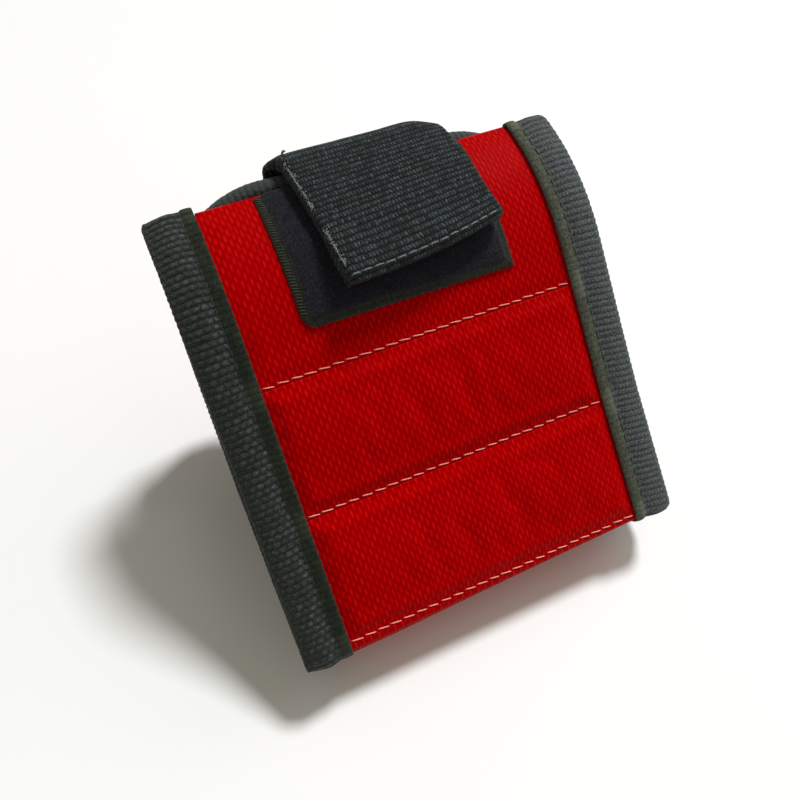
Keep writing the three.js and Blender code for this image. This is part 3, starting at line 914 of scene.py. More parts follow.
def stitchPucker(distances, xs):
    # the cloth is drawn down a little at each stitch hole
    ripple = np.zeros(xs.shape)
    for row in ("rowOne", "rowTwo", "rowThree", "rowFour", "rowFive", "rowSix"):
        near = np.exp(-np.abs(distances[:, None] - band[row]) / clothGrid["puckerReach"])
        ripple += near * np.cos(2 * math.pi * xs / clothGrid["stitch"])
    return ripple * clothGrid["pucker"] * (np.abs(xs) < band["innerX"])


def widthGrid(distances):
    # the same number of points across at each distance, drawn in at the tongue
    return acrossShares * halfWidth(distances, band["edgeInset"])[:, None]


def makeCover(panel, start, end):
    name = f"{panel}Cover"
    distances = steps(start, end, clothGrid["along"])
    xs = widthGrid(distances)
    top = pocketHeight(distances, xs, "cover")
    loose = smoothNoise(len(name), xs.shape, clothGrid["looseReach"]) * clothGrid["loose"]
    top = top + np.minimum(top, 1) * loose + stitchPucker(distances, xs)
    rings = sheetRings(distances, xs, top, band["coverThickness"])
    cover = ringMesh(name, rings, sheetAcross(xs), distances, redNylon)
    declare(cover, panel, f"cover_{panel}")


def makeFlapCover(start, end):
    # the flap's cover turns round its free edge and back under the lining
    hem = flapHem
    arc = hem["radius"] * math.pi
    inner = acrossShares * (band["innerX"] - hem["inset"])
    flat, bend = steps(0, hem["depth"], hem["pitch"])[:-1], steps(0, arc, arc / hem["steps"])
    lengths = np.concatenate([flat, hem["depth"] + bend])
    angle = np.clip(lengths - hem["depth"], 0, None)[:, None] / hem["radius"]
    inside = np.clip(hem["depth"] - lengths, 0, None)[:, None]
    sides = []
    for radius in (hem["radius"], hem["radius"] - band["coverThickness"]):
        turned = inside - hem["reach"] - radius * np.sin(angle)
        sides.append(bandPoint(turned, inner, -hem["radius"] - radius * np.cos(angle)))
    distances = steps(start - hem["reach"], end, clothGrid["along"])
    xs = widthGrid(distances)
    xs[distances + hem["reach"] < hem["hold"]] = inner
    top = pocketHeight(distances, xs, "cover") + stitchPucker(distances, xs)
    face = sheetRings(distances, xs, top, band["coverThickness"])
    rings = np.concatenate([np.concatenate([sides[0], sides[1][:, ::-1]], axis=1), face])
    xs = np.concatenate([np.tile(inner, (len(lengths), 1)), xs])
    along = np.concatenate([lengths - hem["depth"] - arc - hem["reach"], distances])
    cover = ringMesh("flapCover", rings, sheetAcross(xs), along, redNylon)
    declare(cover, "flap", "cover_flap")


def makeLining(panel, start, end):
    distances = steps(start, end, clothGrid["along"])
    xs = widthGrid(distances)
    top = band["liningTop"] - pocketHeight(distances, xs, "lining")
    rings = sheetRings(distances, xs, top, band["liningThickness"])
    lining = ringMesh(f"{panel}Lining", rings, sheetAcross(xs), distances, bandLining)
    declare(lining, panel, f"lining_{panel}")


makeFlapCover(*panelSpans["flap"])
for panel in ("upper", "lower", "base"):
    makeCover(panel, *panelSpans[panel])
for panel, span in panelSpans.items():
    makeLining(panel, *span)
print("cover and lining made")

# edge binding: a ribbed tape folded over the edge

bindingShape = {
    "thickness": 0.8,
    "gap": 0.3,
    "floor": -2.7,
    "crown": 0.8,
    "foldFrom": 1.4,
    "foldRadius": 1.25,
    "crownEnd": 6.4,
    "grooveEnd": 7.2,
    "foldPress": 0.6,
    "slopeFrom": 5.2,  # the crown slopes off towards the edge from here
    "slopeReach": 4.0,
    "bulgeReach": 3.0,
    "bulgeFrom": 20.0,
    "bulgeTo": 60.0,
    "ribHeight": 0.15,
    "uneven": 0.07,
    "stationsPerRib": 6,
    "endRound": 1.8,
    "nubLength": 0.35,
    "nubRise": 0.2,
    "nubReach": 1.3,
    "slantFrom": 12.0,
    "slantTo": 45.0,
    "rowReach": 2.2,  # how far before a row joinAcross takes its start point
}
bindingSides = {
    "left": {
        "sign": -1,
        "overhang": 3.5,
        "slant": -0.1,
        "bulge": 0.5,
        "innerRise": 0.15,
        "slope": 1.0,
        "rib": 1.4,
    },
    "right": {
        "sign": 1,
        "overhang": 2.5,
        "slant": -0.12,
        "bulge": 0.35,
        "innerRise": 0.35,
        "slope": 0.2,
        "rib": 1.1,
    },
}
tongueLook = {
    "slant": 0.0,
    "bulge": 0.0,
    "innerRise": 0.1,
    "slope": 0.3,
    "rib": 0.5,
    "leftRise": 1.1,  # it stands a little higher on the left
}
bindingCuts = {
    "Flap": {"to": 24.0, "node": "flap", "body": "flap"},
    "RowOne": {"from": 24.0, "to": 50.0, "node": "flap", "bend": ("rowOne", "flap", "upper")},
    "RowTwo": {"from": 50.0, "to": 78.0, "node": "upper", "bend": ("rowTwo", "upper", "lower")},
    "RowThree": {"from": 78.0, "to": 101.0, "node": "lower", "bend": ("rowThree", "lower", "base")},
    "Base": {"from": 101.0, "to": band["cornerStart"], "node": "base", "body": "base"},
}


def bindingSection():
    # points round the folded tape: in from the band's edge, out of its face, and how far its ribs show
    shape = bindingShape
    width, thick, fold = band["bindingWidth"], shape["thickness"], shape["foldFrom"]
    gap, floor = shape["gap"], shape["floor"]
    top = gap + thick
    points = []
    for a in np.linspace(width, shape["grooveEnd"], 7):
        t = (width - a) / (width - shape["grooveEnd"])
        points.append((a, top - 0.5 + 0.15 * math.sin(math.pi * t), 0.2))
    for a in np.linspace(shape["crownEnd"], fold, 16):
        t = (shape["crownEnd"] - a) / (shape["crownEnd"] - fold)
        points.append((a, top - 0.62 + shape["crown"] * math.sin(math.pi * (0.08 + 0.6 * t)) ** 0.8, 1.0))
    middle = (top - 0.25 + floor - thick) / 2
    half = top - 0.25 - middle
    for angle in np.linspace(64, -64, 11):
        turn = math.radians(angle)
        points.append((shape["foldRadius"] * (1 - math.cos(turn)), middle + half * math.sin(turn), 1.0))
    for a in np.linspace(fold, width, 14):
        t = (a - fold) / (width - fold)
        points.append((a, floor - thick - 0.1 * math.sin(math.pi * t), 0.8))
    inner = thick + 0.5
    points += [(a, n, 0.0) for a, n in ((width, floor), (inner, floor), (inner, gap), (width, gap))]
    return np.array(points)


section = bindingSection()
onInner = np.arange(len(section)) < 6  # the strip between the groove and the cover
sectionAround = sectionLengths(section)
sectionCentre = np.array([band["bindingWidth"] * 0.5, (bindingShape["gap"] + bindingShape["floor"]) / 2])
tangent = np.roll(section[:, :2], -1, axis=0) - np.roll(section[:, :2], 1, axis=0)
tangent /= np.linalg.norm(tangent, axis=1)[:, None]
sectionNormal = np.stack([tangent[:, 1], -tangent[:, 0]], axis=1)
if np.sum(sectionNormal[12] * (section[12, :2] - sectionCentre)) < 0:
    sectionNormal = -sectionNormal


def ribPlace(distances, look):
    # where each rib lies: the tape was sewn on under tension, so its ribs lean on the outer part
    outer = np.clip(sectionAround - 3.2, 0, 9)
    lean = look["slant"] * easeShare(distances, bindingShape["slantFrom"], bindingShape["slantTo"])
    return distances[:, None] + lean[:, None] * outer


def bindingRings(distances, place, look, ribPitch, freeEnd=False):
    # ribs stand out of the tape's outer faces; a free end is rounded off and its inner edge sticks out
    shape = bindingShape
    rib = np.abs(np.sin(math.pi * ribPlace(distances, look)[:, :-1] / ribPitch)) ** 0.7
    uneven = smoothNoise(7, (len(distances), len(section)), 4) * shape["uneven"]
    out = (rib * look["rib"] * shape["ribHeight"] + uneven) * section[:, 2]
    a = section[:, 0] + out * sectionNormal[:, 0]
    n = section[:, 1] + out * sectionNormal[:, 1]
    across = np.clip((band["bindingWidth"] - a) / (band["bindingWidth"] - shape["grooveEnd"]), 0, 1)
    n = n + look["innerRise"] * np.sin(math.pi * across) ** 0.45 * (n > 0)
    slope = look["slope"] * np.clip((shape["slopeFrom"] - a) / shape["slopeReach"], 0, 1) ** 1.5
    n = n - slope * np.clip(n, 0, 1)
    n = n - foldShare(distances)[:, None] * shape["foldPress"] * np.clip(n, 0, 1)
    bulge = look["bulge"] * (1 - easeShare(distances, shape["bulgeFrom"], shape["bulgeTo"]))[:, None]
    a = a - bulge * np.clip(1 - a / shape["bulgeReach"], 0, 1)
    along = np.broadcast_to(distances[:, None], a.shape)
    if freeEnd:
        past = distances - distances[0]
        share = 1 - np.clip(past / shape["endRound"], 0, 1)
        ends = np.sqrt(np.clip(1 - share * share, 0.02, 1))[:, None]
        n = sectionCentre[1] + (n - sectionCentre[1]) * (0.4 + 0.6 * ends)
        a = a + (1 - ends) * 0.8 * (a < band["bindingWidth"] / 2)
        shut = (1 - easeShare(past, 0.3, 1.0))[:, None] * (section[:, 2] == 0)
        n = n + (sectionCentre[1] - n) * shut * 0.98
        nub = np.exp(-past / shape["nubReach"])[:, None] * easeShare(a, 6.9, 7.6)
        along = along - nub * shape["nubLength"]
        n = n + nub * shape["nubRise"]
    return place(along, a, n)


def bindingStrip(name, start, end, place, look, finish, freeEnd=False):
    ribPitch = tapeLooks[finish]["ribPitch"]
    distances = steps(start, end, ribPitch / bindingShape["stationsPerRib"])
    rings = bindingRings(distances, place, look, ribPitch, freeEnd)
    ribs = ribPlace(distances, look)
    return ringMesh(name, rings, sectionAround, ribs, tapes[finish], innerTapes[finish], onInner)


def joinAcross(piece, row, first, second):
    # bakes the piece's placement into its mesh; the row's two points are worked out but not used, and no
    # bend between the two bodies is set up
    start = linePoint(bandLine, band[row] - bindingShape["rowReach"], 0.0, 0.0)
    end = linePoint(bandLine, band[row], 0.0, 0.0)
    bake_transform(piece)


def makeSideBinding(side, name, cut):
    look = bindingSides[side]

    def edgePlace(d, a, n):
        return bandPoint(d, look["sign"] * (band["width"] / 2 - a), n)

    finish = "plain" if name == "Base" else side
    start = cut.get("from", -look["overhang"])
    strip = bindingStrip(f"{side}Binding{name}", start, cut["to"], edgePlace, look, finish, name == "Flap")
    if "bend" in cut:
        joinAcross(strip, *cut["bend"])
    declare(strip, cut.get("body"), f"binding_{side}_{cut['node']}")


def makeTongueBinding():
    radius = band["cornerRadius"]
    corner = radius * math.pi / 2
    top = band["width"] - 2 * radius

    def tonguePlace(d, a, n):
        arc = np.minimum(d, corner) + np.clip(d - corner - top, 0, None)
        straight = np.clip(d - corner, 0, top)
        angle = arc / radius
        reach = radius - a
        x = -top / 2 + straight - reach * np.cos(angle)
        reach = reach + tongueLook["leftRise"] * np.clip(-x / 30, 0, 1) * np.sin(angle)
        return bandPoint(band["cornerStart"] + reach * np.sin(angle), x, n)

    strip = bindingStrip("tongueBinding", 0, 2 * corner + top, tonguePlace, tongueLook, "plain")
    declare(strip, "base", "binding_tongue")


for side in bindingSides:
    for name, cut in bindingCuts.items():
        makeSideBinding(side, name, cut)
makeTongueBinding()
print("binding made")

# thread

stitchLook = {
    "radius": 0.12,
    "length": 2.9,
    "gap": 0.36,
    "rise": 0.14,
    "slant": 0.36,
    "wander": 0.2,
    "sides": 8,
    "steps": 9,
}
stitchRows = [
    ("rowOne", -0.6, "flap"),
    ("rowTwo", -0.6, "upper"),
    ("rowThree", -0.35, "lower"),
    ("rowFour", 0.0, "base"),
    ("rowFive", -0.75, "base"),
    ("rowSix", -0.75, "base"),
]


def stitchRun(places, name, material, radius):
    # one stitch for each list of centre points, joined in one mesh
    sides = stitchLook["sides"]
    turns = 2 * math.pi * np.arange(sides)[:, None] / sides
    verts, faces, uvs = [], [], []
    for points in places:
        count = len(points)
        forward = np.gradient(points, axis=0)
        forward /= np.linalg.norm(forward, axis=1)[:, None]
        sideways = np.cross(forward, (0.3, 0.5, 0.8))
        sideways /= np.linalg.norm(sideways, axis=1)[:, None]
        upward = np.cross(sideways, forward)
        swell = np.sin(np.linspace(0.12, math.pi - 0.12, count)) ** 0.35
        for i in range(count):
            push = np.cos(turns) * sideways[i] + np.sin(turns) * upward[i]
            verts.append(points[i] + push * radius * mm * swell[i])
        lengths = np.concatenate([[0], np.cumsum(np.linalg.norm(np.diff(points, axis=0), axis=1))]) / mm
        base = (len(verts) - count) * sides
        for i in range(count - 1):
            for j in range(sides):
                a, b = base + i * sides + j, base + i * sides + (j + 1) % sides
                faces.append((a, b, b + sides, a + sides))
                for side, end in ((j, i), (j + 1, i), (j + 1, i + 1), (j, i + 1)):
                    uvs.append((side / sides, lengths[end]))
        last = base + (count - 1) * sides
        faces += [tuple(range(base + sides - 1, base - 1, -1)), tuple(range(last, last + sides))]
        uvs += [(0.0, 0.0)] * sides + [(0.0, lengths[-1])] * sides
    return finishMesh(name, verts, faces, uvs, material)


def makeStitchRow(number, distance, body):
    look = stitchLook
    half = band["innerX"] - 0.3
    count = int(2 * half / look["length"])
    pitch = 2 * half / count
    wander = np.random.default_rng(number).uniform(-1, 1, (count, 3))
    share = np.linspace(0, 1, look["steps"])
    lift = np.sin(math.pi * share) ** 0.6 * look["rise"] - 0.04
    places = []
    for i in range(count):
        begin = -half + i * pitch + look["gap"] / 2 + wander[i, 0] * look["wander"]
        finish = -half + (i + 1) * pitch - look["gap"] / 2 + wander[i, 2] * look["wander"]
        along = distance + (share - 0.5) * look["slant"] + wander[i, 1] * 0.07
        places.append(bandPoint(along, begin + (finish - begin) * share, lift))
    row = stitchRun(places, f"stitchRow{number}", threads["rowThread"], look["radius"])
    declare(row, body, f"stitch_row_{number}")


for number, (row, shift, body) in enumerate(stitchRows, 1):
    makeStitchRow(number, band[row] + shift, body)
print("stitch rows sewn")

# loop patch

patchShape = {
    "width": 46.5,
    "from": -1.0,
    "length": 29.3,
    "corner": 3.0,
    "back": 0.7,
    "pile": 0.6,
    "lumps": 0.12,
    "bevel": 0.6,
    "seat": 0.05,
    "lean": 0.9,  # its lower right corner lies this much lower
    "pitch": 0.4,
    "columns": 110,
    "fibres": 9000,
    "fibreLength": 0.5,
    "fibreWidth": 0.04,
}
patchShape["to"] = patchShape["from"] + patchShape["length"]


def patchPlace(d, x, out):
    # the patch lies a little askew
    lean = patchShape["lean"] * (x / patchShape["width"] + 0.5)
    return bandPoint(d + lean * np.clip(d, 0, None) / patchShape["length"], x, out)


def patchHalf(d):
    # left and right edges at a distance; only the lower left corner is round
    corner = patchShape["corner"]
    past = np.clip(d - (patchShape["to"] - corner), 0, corner)
    drawn = corner - np.sqrt(np.clip(corner**2 - past**2, 0, None))
    return -patchShape["width"] / 2 + drawn, np.full_like(drawn, patchShape["width"] / 2)


def flapTop(d, x):
    # the flap cover's height under a point
    d, x = np.broadcast_arrays(np.asarray(d, float), np.asarray(x, float))
    pocket = pocketList[0]
    t = (d - pocket["from"]) / (pocket["to"] - pocket["from"])
    s = (x / band["innerX"] + 1) / 2
    return np.where((t > 0) & (t < 1), sampleGrid(pocket["cover"], t, s), 0) * pocket["out"]


def makePatch():
    shape, border = patchShape, loopLook["border"]
    distances = steps(shape["from"], shape["to"], shape["pitch"])
    left, right = (side[:, None] for side in patchHalf(distances))
    xs = left + (right - left) * np.linspace(0, 1, shape["columns"])
    d = np.broadcast_to(distances[:, None], xs.shape)
    edge = np.minimum.reduce([xs - left, right - xs, shape["to"] - d, d - shape["from"] + 3])
    rise = easeShare(edge - border * 0.7, 0, 1)
    lumps = (smoothNoise(31, xs.shape, 3) + smoothNoise(32, xs.shape, 9)) * shape["lumps"]
    under = flapTop(d, xs) + shape["seat"]
    rounded = np.sqrt(np.clip(edge / shape["bevel"], 0, 1))
    top = under + shape["back"] * (0.35 + 0.65 * rounded) + rise * (shape["pile"] + lumps)
    rings = np.concatenate([patchPlace(d, xs, top), patchPlace(d, xs, under)[:, ::-1]], axis=1)
    onBorder = np.ones((len(distances) - 1, 2 * shape["columns"]), bool)
    onBorder[:, : shape["columns"]] = edge[:-1] < border
    patch = ringMesh("loopPatch", rings, sheetAcross(xs), distances, patchPile, patchSelvage, onBorder)
    declare(patch, "flap", "loop_patch")


def makeFibres(name, feet, ups, places, seed, length, thin, material, body, slot):
    # short curled fibres that stand on the given points
    rng = np.random.default_rng(seed)
    count = len(feet)
    lean = rng.normal(size=(count, 3))
    lean -= np.sum(lean * ups, axis=1)[:, None] * ups
    lean /= np.linalg.norm(lean, axis=1)[:, None]
    tall = length * rng.uniform(0.5, 1.2, (count, 1)) * mm
    sideways = np.cross(ups, lean) * thin * mm
    points = []
    for t in (0.0, 0.4, 0.8, 1.0):
        point = feet + ups * tall * math.sin(t * 2.1) + lean * tall * 0.9 * t * t
        points += [point - sideways * (1 - 0.6 * t), point + sideways * (1 - 0.6 * t)]
    verts = np.stack(points, axis=1)
    base = np.arange(count)[:, None] * len(points)
    faces = np.concatenate([base + np.array([2 * i, 2 * i + 1, 2 * i + 3, 2 * i + 2]) for i in range(3)])
    uvs = np.repeat(np.tile(places, (3, 1)), 4, axis=0)
    declare(finishMesh(name, verts, faces.tolist(), uvs, material), body)


def clothFeet(d, x, out, place=bandPoint):
    # feet and upward directions on a cloth at the given height
    feet = place(d, x, out)
    ups = place(d, x, out + 1) - feet
    return feet, ups / np.linalg.norm(ups, axis=1)[:, None]


def makePatchFibres():
    shape, border = patchShape, loopLook["border"]
    rng = np.random.default_rng(5)
    d = rng.uniform(shape["from"] + 0.4, shape["to"] - 0.1, shape["fibres"])
    x = rng.uniform(-shape["width"] / 2 + 0.1, shape["width"] / 2 - 0.1, shape["fibres"])
    left, right = patchHalf(d)
    edge = np.minimum.reduce([x - left, right - x, shape["to"] - d])
    onSelvage = (edge > 0.05) & (edge < border)
    for name, kept, tall, material in (
        ("patchFibres", edge > border, shape["back"] + shape["pile"] * 0.85, patchPile),
        ("selvageFibres", onSelvage, shape["back"] * 0.85, patchSelvage),
    ):
        feet, ups = clothFeet(d[kept], x[kept], flapTop(d[kept], x[kept]) + tall, patchPlace)
        places = np.stack([x, d], axis=1)[kept]
        size = shape["fibreLength"], shape["fibreWidth"]
        makeFibres(name, feet, ups, places, 6, *size, material, "flap", "loop")


makePatch()
makePatchFibres()
print("loop patch made")

# strap

strapShape = {
    "start": (37.0829, 37.9913),  # its root's end on the back
    "width": 38.0,
    "thickness": 1.5,
    "rootEnd": 18.5,
    "archStart": 24.0,
    "archRadius": 4.1188,
    "archTurn": 108.0,
    "archTop": 29.0,
    "archEnd": 33.0,
    "lead": 5.0373,
    "curve": 5.0937,
    "curveTurn": 6.0,
    "endFlat": 16.0,
    "tipStart": 41.0,
    "tipLength": 12.5,
    "skew": math.tan(math.radians(5.5)),
    "hemRadius": 1.65,
    "hemDepth": 7.5,
    "edgeRound": 0.45,
    "ribHeight": 0.07,
    "curlWidth": 4.0,  # the left edge rolls down
    "curlDrop": 2.5,
    "curlShift": 2.8,
    "cornerWidth": 8.0,  # the right edge droops where it turns over
    "cornerDrop": 2.1,
    "cornerReach": 3.2,
    "rightDrop": 0.25,
    "endBow": 1.7,
    "endReach": 0.5,
    "bowFrom": 46.0,
    "wave": 0.1,
    "peelSpan": (-2.8, 2.2),  # points round the peel line, from here to here, that makeStrap works out; no bend is set up
    "tipSpan": (43.6, 47.2),
}
strapRuns = [
    (strapShape["archStart"], 0.0),
    (arcLength(strapShape["archRadius"], strapShape["archTurn"]), strapShape["archTurn"]),
    (strapShape["lead"], 0.0),
    (strapShape["curve"], strapShape["curveTurn"]),
    (strapShape["endFlat"], 0.0),
]
strapLine = makeLine(strapShape["start"], bandCourse["lean"], strapRuns)
strapShape["leadEnd"] = strapLine[3, 0]
strapShape["end"] = strapLine[-1, 0] + strapLine[-1, 1]
strapShape["tipSplit"] = strapShape["end"] - strapShape["tipLength"]


def strapPoint(distance, x, out):
    distance, x, out = np.broadcast_arrays(np.asarray(distance, float), x, out)
    past = np.clip(distance - strapShape["archStart"], 0, None)
    share = past / (strapShape["end"] - strapShape["archStart"])
    shifted = distance - x * strapShape["skew"] * share
    return linePoint(strapLine, shifted, x + past * strapShape["skew"], out)


def strapWorn(distance, x, out):
    # the webbing as it lies: left edge rolled down, right corner drooping, end bowed
    shape = strapShape
    distance, x, out = np.broadcast_arrays(np.asarray(distance, float), x, out)
    half = shape["width"] / 2
    left = np.clip((shape["curlWidth"] - half - x) / shape["curlWidth"], 0, 1)
    onLay = easeShare(distance, shape["archStart"] + 1, shape["archTop"] + 2)
    drop = shape["curlDrop"] * left**2 * onLay
    right = np.clip((x - half + shape["cornerWidth"]) / shape["cornerWidth"], 0, 1)
    overTop = np.exp(-(((distance - shape["archTop"]) / shape["cornerReach"]) ** 2))
    drop = drop + right**2 * (shape["cornerDrop"] * overTop + shape["rightDrop"] * onLay)
    bow = shape["endBow"] * (1 - ((x + 2) / (half + 2)) ** 2) + shape["endReach"]
    distance = distance + bow * easeShare(distance, shape["bowFrom"], shape["end"])
    wave = shape["wave"] * np.sin(x / 4.3 + distance / 7.0) * onLay
    return strapPoint(distance, x + shape["curlShift"] * left**2 * onLay, out - drop + wave)


def webSection():
    # points round the webbing: across and out; rounded at both edges
    half, thick = strapShape["width"] / 2, strapShape["thickness"]
    soft = strapShape["edgeRound"] * 2
    top = [(x, thick) for x in np.linspace(-half + soft, half - soft, 72)]
    turns = np.radians((65, 40, 15, -15, -40, -65))
    rightEdge = [(half - soft + soft * math.cos(t), thick / 2 + thick / 2 * math.sin(t)) for t in turns]
    bottom = [(x, 0.0) for x in np.linspace(half - soft, -half + soft, 48)]
    leftEdge = [(-x, thick - n) for x, n in rightEdge]
    return np.array(top + rightEdge + bottom + leftEdge)


web = webSection()
webAround = sectionLengths(web)


def webPiece(name, start, end, place=strapWorn):
    shape = strapShape
    distances = steps(start, end, webLook["ribPitch"] / 5)
    rib = np.abs(np.sin(math.pi * distances / webLook["ribPitch"])) ** 0.8
    atEdge = np.sign(web[:, 0]) * (np.abs(web[:, 0]) > shape["width"] / 2 - 0.6)
    onTop = web[:, 1] > shape["thickness"] / 2
    uneven = smoothNoise(3, (len(distances), len(web)), 5) * 0.06
    out = (rib[:, None] - 1) * shape["ribHeight"] + uneven
    x = web[:, 0] + out * atEdge + 0.14 * np.sin(distances / 3.1)[:, None]
    rings = place(distances[:, None], x, web[:, 1] + out * onTop)
    return ringMesh(name, rings, webAround, distances, strapWeb)


def hemPlace(distance, x, out):
    # the strap's end folded under itself
    shape = strapShape
    radius, thick = shape["hemRadius"], shape["thickness"]
    arcFrom = shape["end"] - radius
    distance, x, out = np.broadcast_arrays(distance, x, out)
    turned = np.clip((distance - arcFrom) / radius, 0, math.pi)
    back = np.clip(distance - arcFrom - radius * math.pi, 0, None)
    reach = radius - thick + out
    along = np.where(distance <= arcFrom, distance, arcFrom + reach * np.sin(turned) - back)
    lift = np.where(distance <= arcFrom, out, thick - radius + reach * np.cos(turned))
    return strapWorn(along, x, lift)


def makeStrap():
    shape = strapShape
    root = webPiece("strapRoot", 0, shape["rootEnd"])
    declare(root, "base", "strap_root")
    bend = webPiece("strapBend", shape["rootEnd"], shape["archEnd"])
    low, high = (linePoint(strapLine, shape["archStart"] + way, 0.0, 0.0) for way in shape["peelSpan"])
    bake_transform(bend)
    declare(bend, node="strap_band")
    lay = webPiece("strapLay", shape["archEnd"], shape["tipStart"])
    declare(lay, "strap")
    hemEnd = shape["end"] - shape["hemRadius"] + shape["hemRadius"] * math.pi + shape["hemDepth"]
    tip = webPiece("strapTip", shape["tipStart"], hemEnd, hemPlace)
    low, high = (strapPoint(distance, 0.0, 0.0) for distance in shape["tipSpan"])
    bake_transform(tip)
    declare(tip, node="strap_tip")


makeStrap()
print("strap made")

# strap stitching, loose ends and hook strip

strapSeam = {
    "inset": 2.6,
    "length": 2.4,
    "gap": 0.35,
    "radius": 0.17,
    "endInset": 1.0,
    "from": 26.5,
    "rootFrom": 2.0,
    "rootTo": 14.0,
}
lintLook = {"from": 31, "to": 54.5, "specks": 190, "spread": 0.4, "radius": 0.07}
hookShape = {
    "width": 34.0,
    "setback": 2.0,
    "thickness": 0.7,
    "top": -0.05,
    "columns": 44,
    "rowPitch": 1.1,
    "columnPitch": 1.3,
    "radius": 0.1,
}
seamShare = np.linspace(0, 1, 7)
seamArch = np.sin(math.pi * seamShare) ** 0.6
seamStitch = strapSeam["gap"] / 2 + (strapSeam["length"] - strapSeam["gap"]) * seamShare  # along its seam
seamLift = strapShape["thickness"] - 0.06 + 0.2 * seamArch


def seamAlong(name, points, body, radius=strapSeam["radius"], material=threads["greyThread"]):
    declare(stitchRun(points, name, material, radius), body)


def sewStrap():
    # along the left edge of the lay and the tip, and across the end
    seam, shape = strapSeam, strapShape
    half = shape["width"] / 2 - seam["inset"]
    last = shape["end"] - seam["endInset"]
    rng = np.random.default_rng(11)
    lay, tip = [], []
    for start in np.arange(seam["from"], last - seam["length"], seam["length"]):
        points = strapWorn(start + seamStitch, -half + rng.uniform(-0.12, 0.12), seamLift)
        if start > shape["tipSplit"] + 1:
            tip.append(points)
        elif shape["archEnd"] < start < shape["tipSplit"] - seam["length"]:
            lay.append(points)
    for start in np.arange(-half, half - seam["length"] / 2, seam["length"]):
        tip.append(strapWorn(last + rng.uniform(-0.1, 0.1), start + seamStitch, seamLift))
    seamAlong("strapSeamLay", lay, "strap")
    seamAlong("strapSeamTip", tip, "tip")


def sewRoot():
    # a box of stitches holds the strap's root on the tongue
    seam = strapSeam
    half = strapShape["width"] / 2 - seam["inset"]
    runs = []
    for d in (seam["rootFrom"], seam["rootTo"]):
        for start in np.arange(-half, half - seam["length"] / 2, seam["length"]):
            runs.append(strapPoint(d, start + seamStitch, seamLift))
    for start in np.arange(seam["rootFrom"], seam["rootTo"] - seam["length"] / 2, seam["length"]):
        runs += [strapPoint(start + seamStitch, x, seamLift) for x in (-half, half)]
    seamAlong("strapSeamRoot", runs, "base")


def makeLooseEnds():
    # a thread end at the strap's top corner and some lint caught on its left seam
    share = np.linspace(0, 1, 9)
    tail = strapWorn(29.9 - 0.9 * share, -15.9 + 1.5 * share, 1.45 + 0.75 * np.sin(share * 2.4))
    stub = strapWorn(30.3 + 0.5 * share, -16.1 - 0.6 * share, 1.4 + 0.7 * np.sin(share * 2.9))
    seamAlong("looseThread", [tail, stub], "strap", 0.26, threads["darkThread"])
    look, split = lintLook, strapShape["tipSplit"]
    rng = np.random.default_rng(23)
    specks = {"Lay": [], "Tip": []}
    for d in rng.uniform(look["from"], look["to"], look["specks"]):
        x = strapSeam["inset"] - strapShape["width"] / 2 + rng.normal(0, look["spread"])
        sweep = (share - 0.5) * rng.uniform(0.12, 0.4)
        turn = rng.uniform(0, 2 * math.pi)
        lift = strapShape["thickness"] + 0.1 * np.sin(math.pi * share)
        if abs(d - split) > 2:
            speck = strapWorn(d + sweep * math.sin(turn), x + sweep * math.cos(turn), lift)
            specks["Lay" if d < split else "Tip"].append(speck)
    for name, body in (("Lay", "strap"), ("Tip", "tip")):
        seamAlong(f"seamLint{name}", specks[name], body, look["radius"], threads["lintFluff"])


def makeHookStrip():
    # a moulded strip with rows of small hooks
    hook = hookShape
    half = hook["width"] / 2
    start, end = strapShape["leadEnd"] - hook["setback"], strapShape["tipSplit"] - 0.15
    distances = steps(start, end, 0.8)
    xs = np.tile(np.linspace(-half, half, hook["columns"]), (len(distances), 1))
    rings = sheetRings(distances, xs, np.full(xs.shape, hook["top"]), hook["thickness"], strapWorn)
    strip = ringMesh("hookStrip", rings, sheetAcross(xs), distances, hookBlack)
    declare(strip, "strap", "hook_strip")
    share = np.linspace(0, 1, 6)
    drop = -0.75 - 0.42 * np.sin(share * 2.4)
    hooks = []
    for d in np.arange(start + 1.8, end - 0.8, hook["rowPitch"]):
        for x in np.arange(-half + 2.1, half - 2.0, hook["columnPitch"]):
            hooks.append(strapWorn(d + 0.45 * share**1.5, x, drop))
    seamAlong("hookRows", hooks, "strap", hook["radius"], hookBlack)
    sewHookStrip(start + 0.9, end - 0.4)


def sewHookStrip(start, end):
    # stitches on the strip's bare border, seen when the strap is peeled off
    length, half = strapSeam["length"], hookShape["width"] / 2 - 1.0
    lift = -0.72 - 0.14 * seamArch
    runs = [strapWorn(start, x + seamStitch, lift) for x in np.arange(-half, half - length / 2, length)]
    for d in np.arange(start, end - length, length):
        runs += [strapWorn(d + seamStitch, x, lift) for x in (-half, half)]
    seamAlong("hookSeam", runs, "strap", 0.1, threads["darkThread"])


sewStrap()
sewRoot()
makeLooseEnds()
makeHookStrip()
print("strap sewn")

# overlock on the patch, seams and fuzz on the binding

trimLook = {
    "overlockPitch": 0.62,
    "overlockWidth": 1.8,
    "overlockRadius": 0.075,
    "seamAcross": 6.95,
    "seamStitch": 2.6,
    "seamGap": 0.5,
    "seamRadius": 0.11,
    "hairs": 60,  # for each millimetre along
    "hairLength": 0.42,
    "hairWidth": 0.028,
}
trimThreads = {"left": threads["darkThread"], "right": threads["greenThread"]}
trimSpans = {
    "flap": (0.6, band["rowOne"] - 3),
    "upper": (band["rowOne"] + 3, band["rowTwo"] - 3),
    "lower": (band["rowTwo"] + 3, band["rowThree"] - 3),
    "base": (band["foldEnd"] + 2, band["cornerStart"]),
}


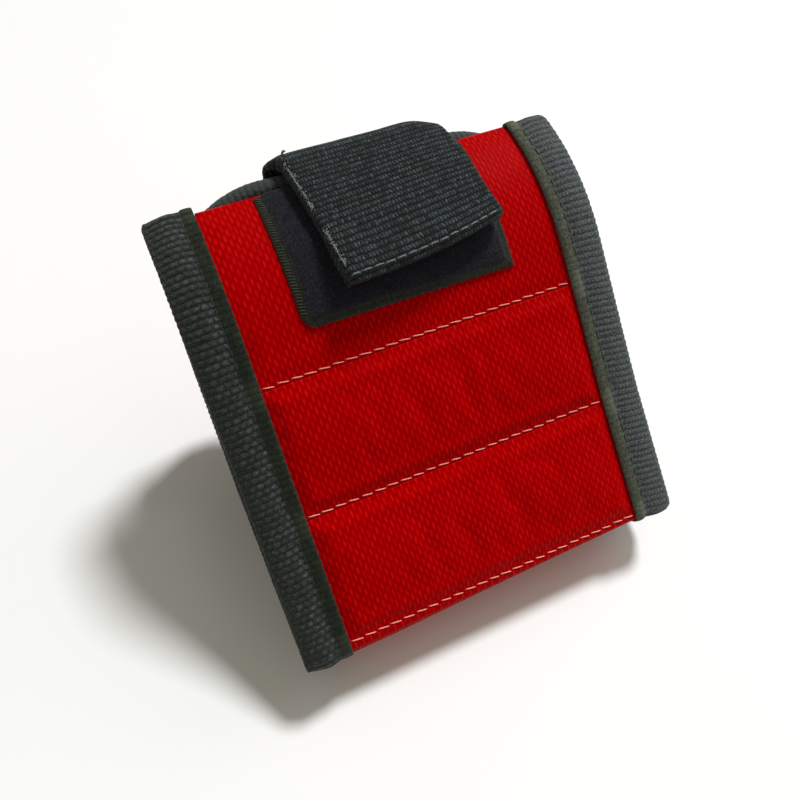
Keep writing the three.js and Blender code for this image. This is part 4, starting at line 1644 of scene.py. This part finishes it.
def makeOverlock():
    # slanted thread over the patch's left border
    runs = []
    start, end = patchShape["from"] + 0.5, patchShape["to"] - patchShape["corner"]
    for d in np.arange(start, end, trimLook["overlockPitch"]):
        line = d + 0.5 * seamShare
        x = -patchShape["width"] / 2 + 0.05 + trimLook["overlockWidth"] * seamShare
        lift = flapTop(line, x) + patchShape["back"] + 0.02 + 0.14 * np.sin(math.pi * seamShare)
        runs.append(patchPlace(line, x, lift))
    seamAlong("patchOverlock", runs, "flap", trimLook["overlockRadius"], threads["greenThread"])


def trimBinding(side, body, start, end):
    # one line of stitches in the groove, and hairs on the inner strip, for one moving panel
    look = trimLook
    name, sign = body.capitalize(), bindingSides[side]["sign"]
    stitch = look["seamStitch"]
    rise = bindingShape["gap"] + bindingShape["thickness"] - 0.42
    x = sign * (band["width"] / 2 - look["seamAcross"])
    runs = []
    for d in np.arange(start, end - stitch, stitch):
        line = d + look["seamGap"] / 2 + (stitch - look["seamGap"]) * seamShare
        runs.append(bandPoint(line, x, rise + 0.16 * seamArch))
    seamAlong(f"{side}Seam{name}", runs, body, look["seamRadius"], trimThreads[side])
    rng = np.random.default_rng(len(side) + int(start))
    count = int((end - start) * look["hairs"])
    d = rng.uniform(start, end, count)
    a = rng.uniform(bindingShape["grooveEnd"], band["bindingWidth"], count)
    feet, ups = clothFeet(d, sign * (band["width"] / 2 - a), np.full(count, rise + 0.28))
    places = np.stack([band["bindingWidth"] - a, d], axis=1)
    finish = innerTapes["plain" if body == "base" else side]
    size = look["hairLength"], look["hairWidth"]
    makeFibres(f"{side}Fuzz{name}", feet, ups, places, int(start), *size, finish, body, "tape")


makeOverlock()
for side in bindingSides:
    for body, span in trimSpans.items():
        trimBinding(side, body, *span)
print("trims sewn")

# floor and surroundings


def makeFloor():
    size = studio["floorSize"] * mm
    mesh = bpy.data.meshes.new("studioFloor")
    corners = [(-size, -size, 0), (size, -size, 0), (size, size, 0), (-size, size, 0)]
    mesh.from_pydata(corners, [], [(0, 1, 2, 3)])
    made = mixed("studioFloor", Roughness=0.9, Specular_IOR_Level=0.1, Base_Color=studio["floorTone"])
    mesh.materials.append(made.owner)
    addObject("studioFloor", mesh)


def makeWorld():
    # white where it is seen, mirrored or looked through, and a warm soft light for the rest
    world = bpy.data.worlds.new("studioWorld")
    bpy.context.scene.world = world
    made = recipe(world, "Background")
    path = made.node("ShaderNodeLightPath").outputs
    seen = path["Is Camera Ray"]
    for ray in ("Is Glossy Ray", "Is Transmission Ray"):
        seen = made.calc("MAXIMUM", seen, path[ray])
    tint = made.blend(seen, studio["worldTone"], (1.0, 1.0, 1.0, 1.0))
    made.finish(Color=tint, Strength=made.blend(seen, studio["worldStrength"], 1.0, "FLOAT"))


makeFloor()
makeWorld()
print("studio made")
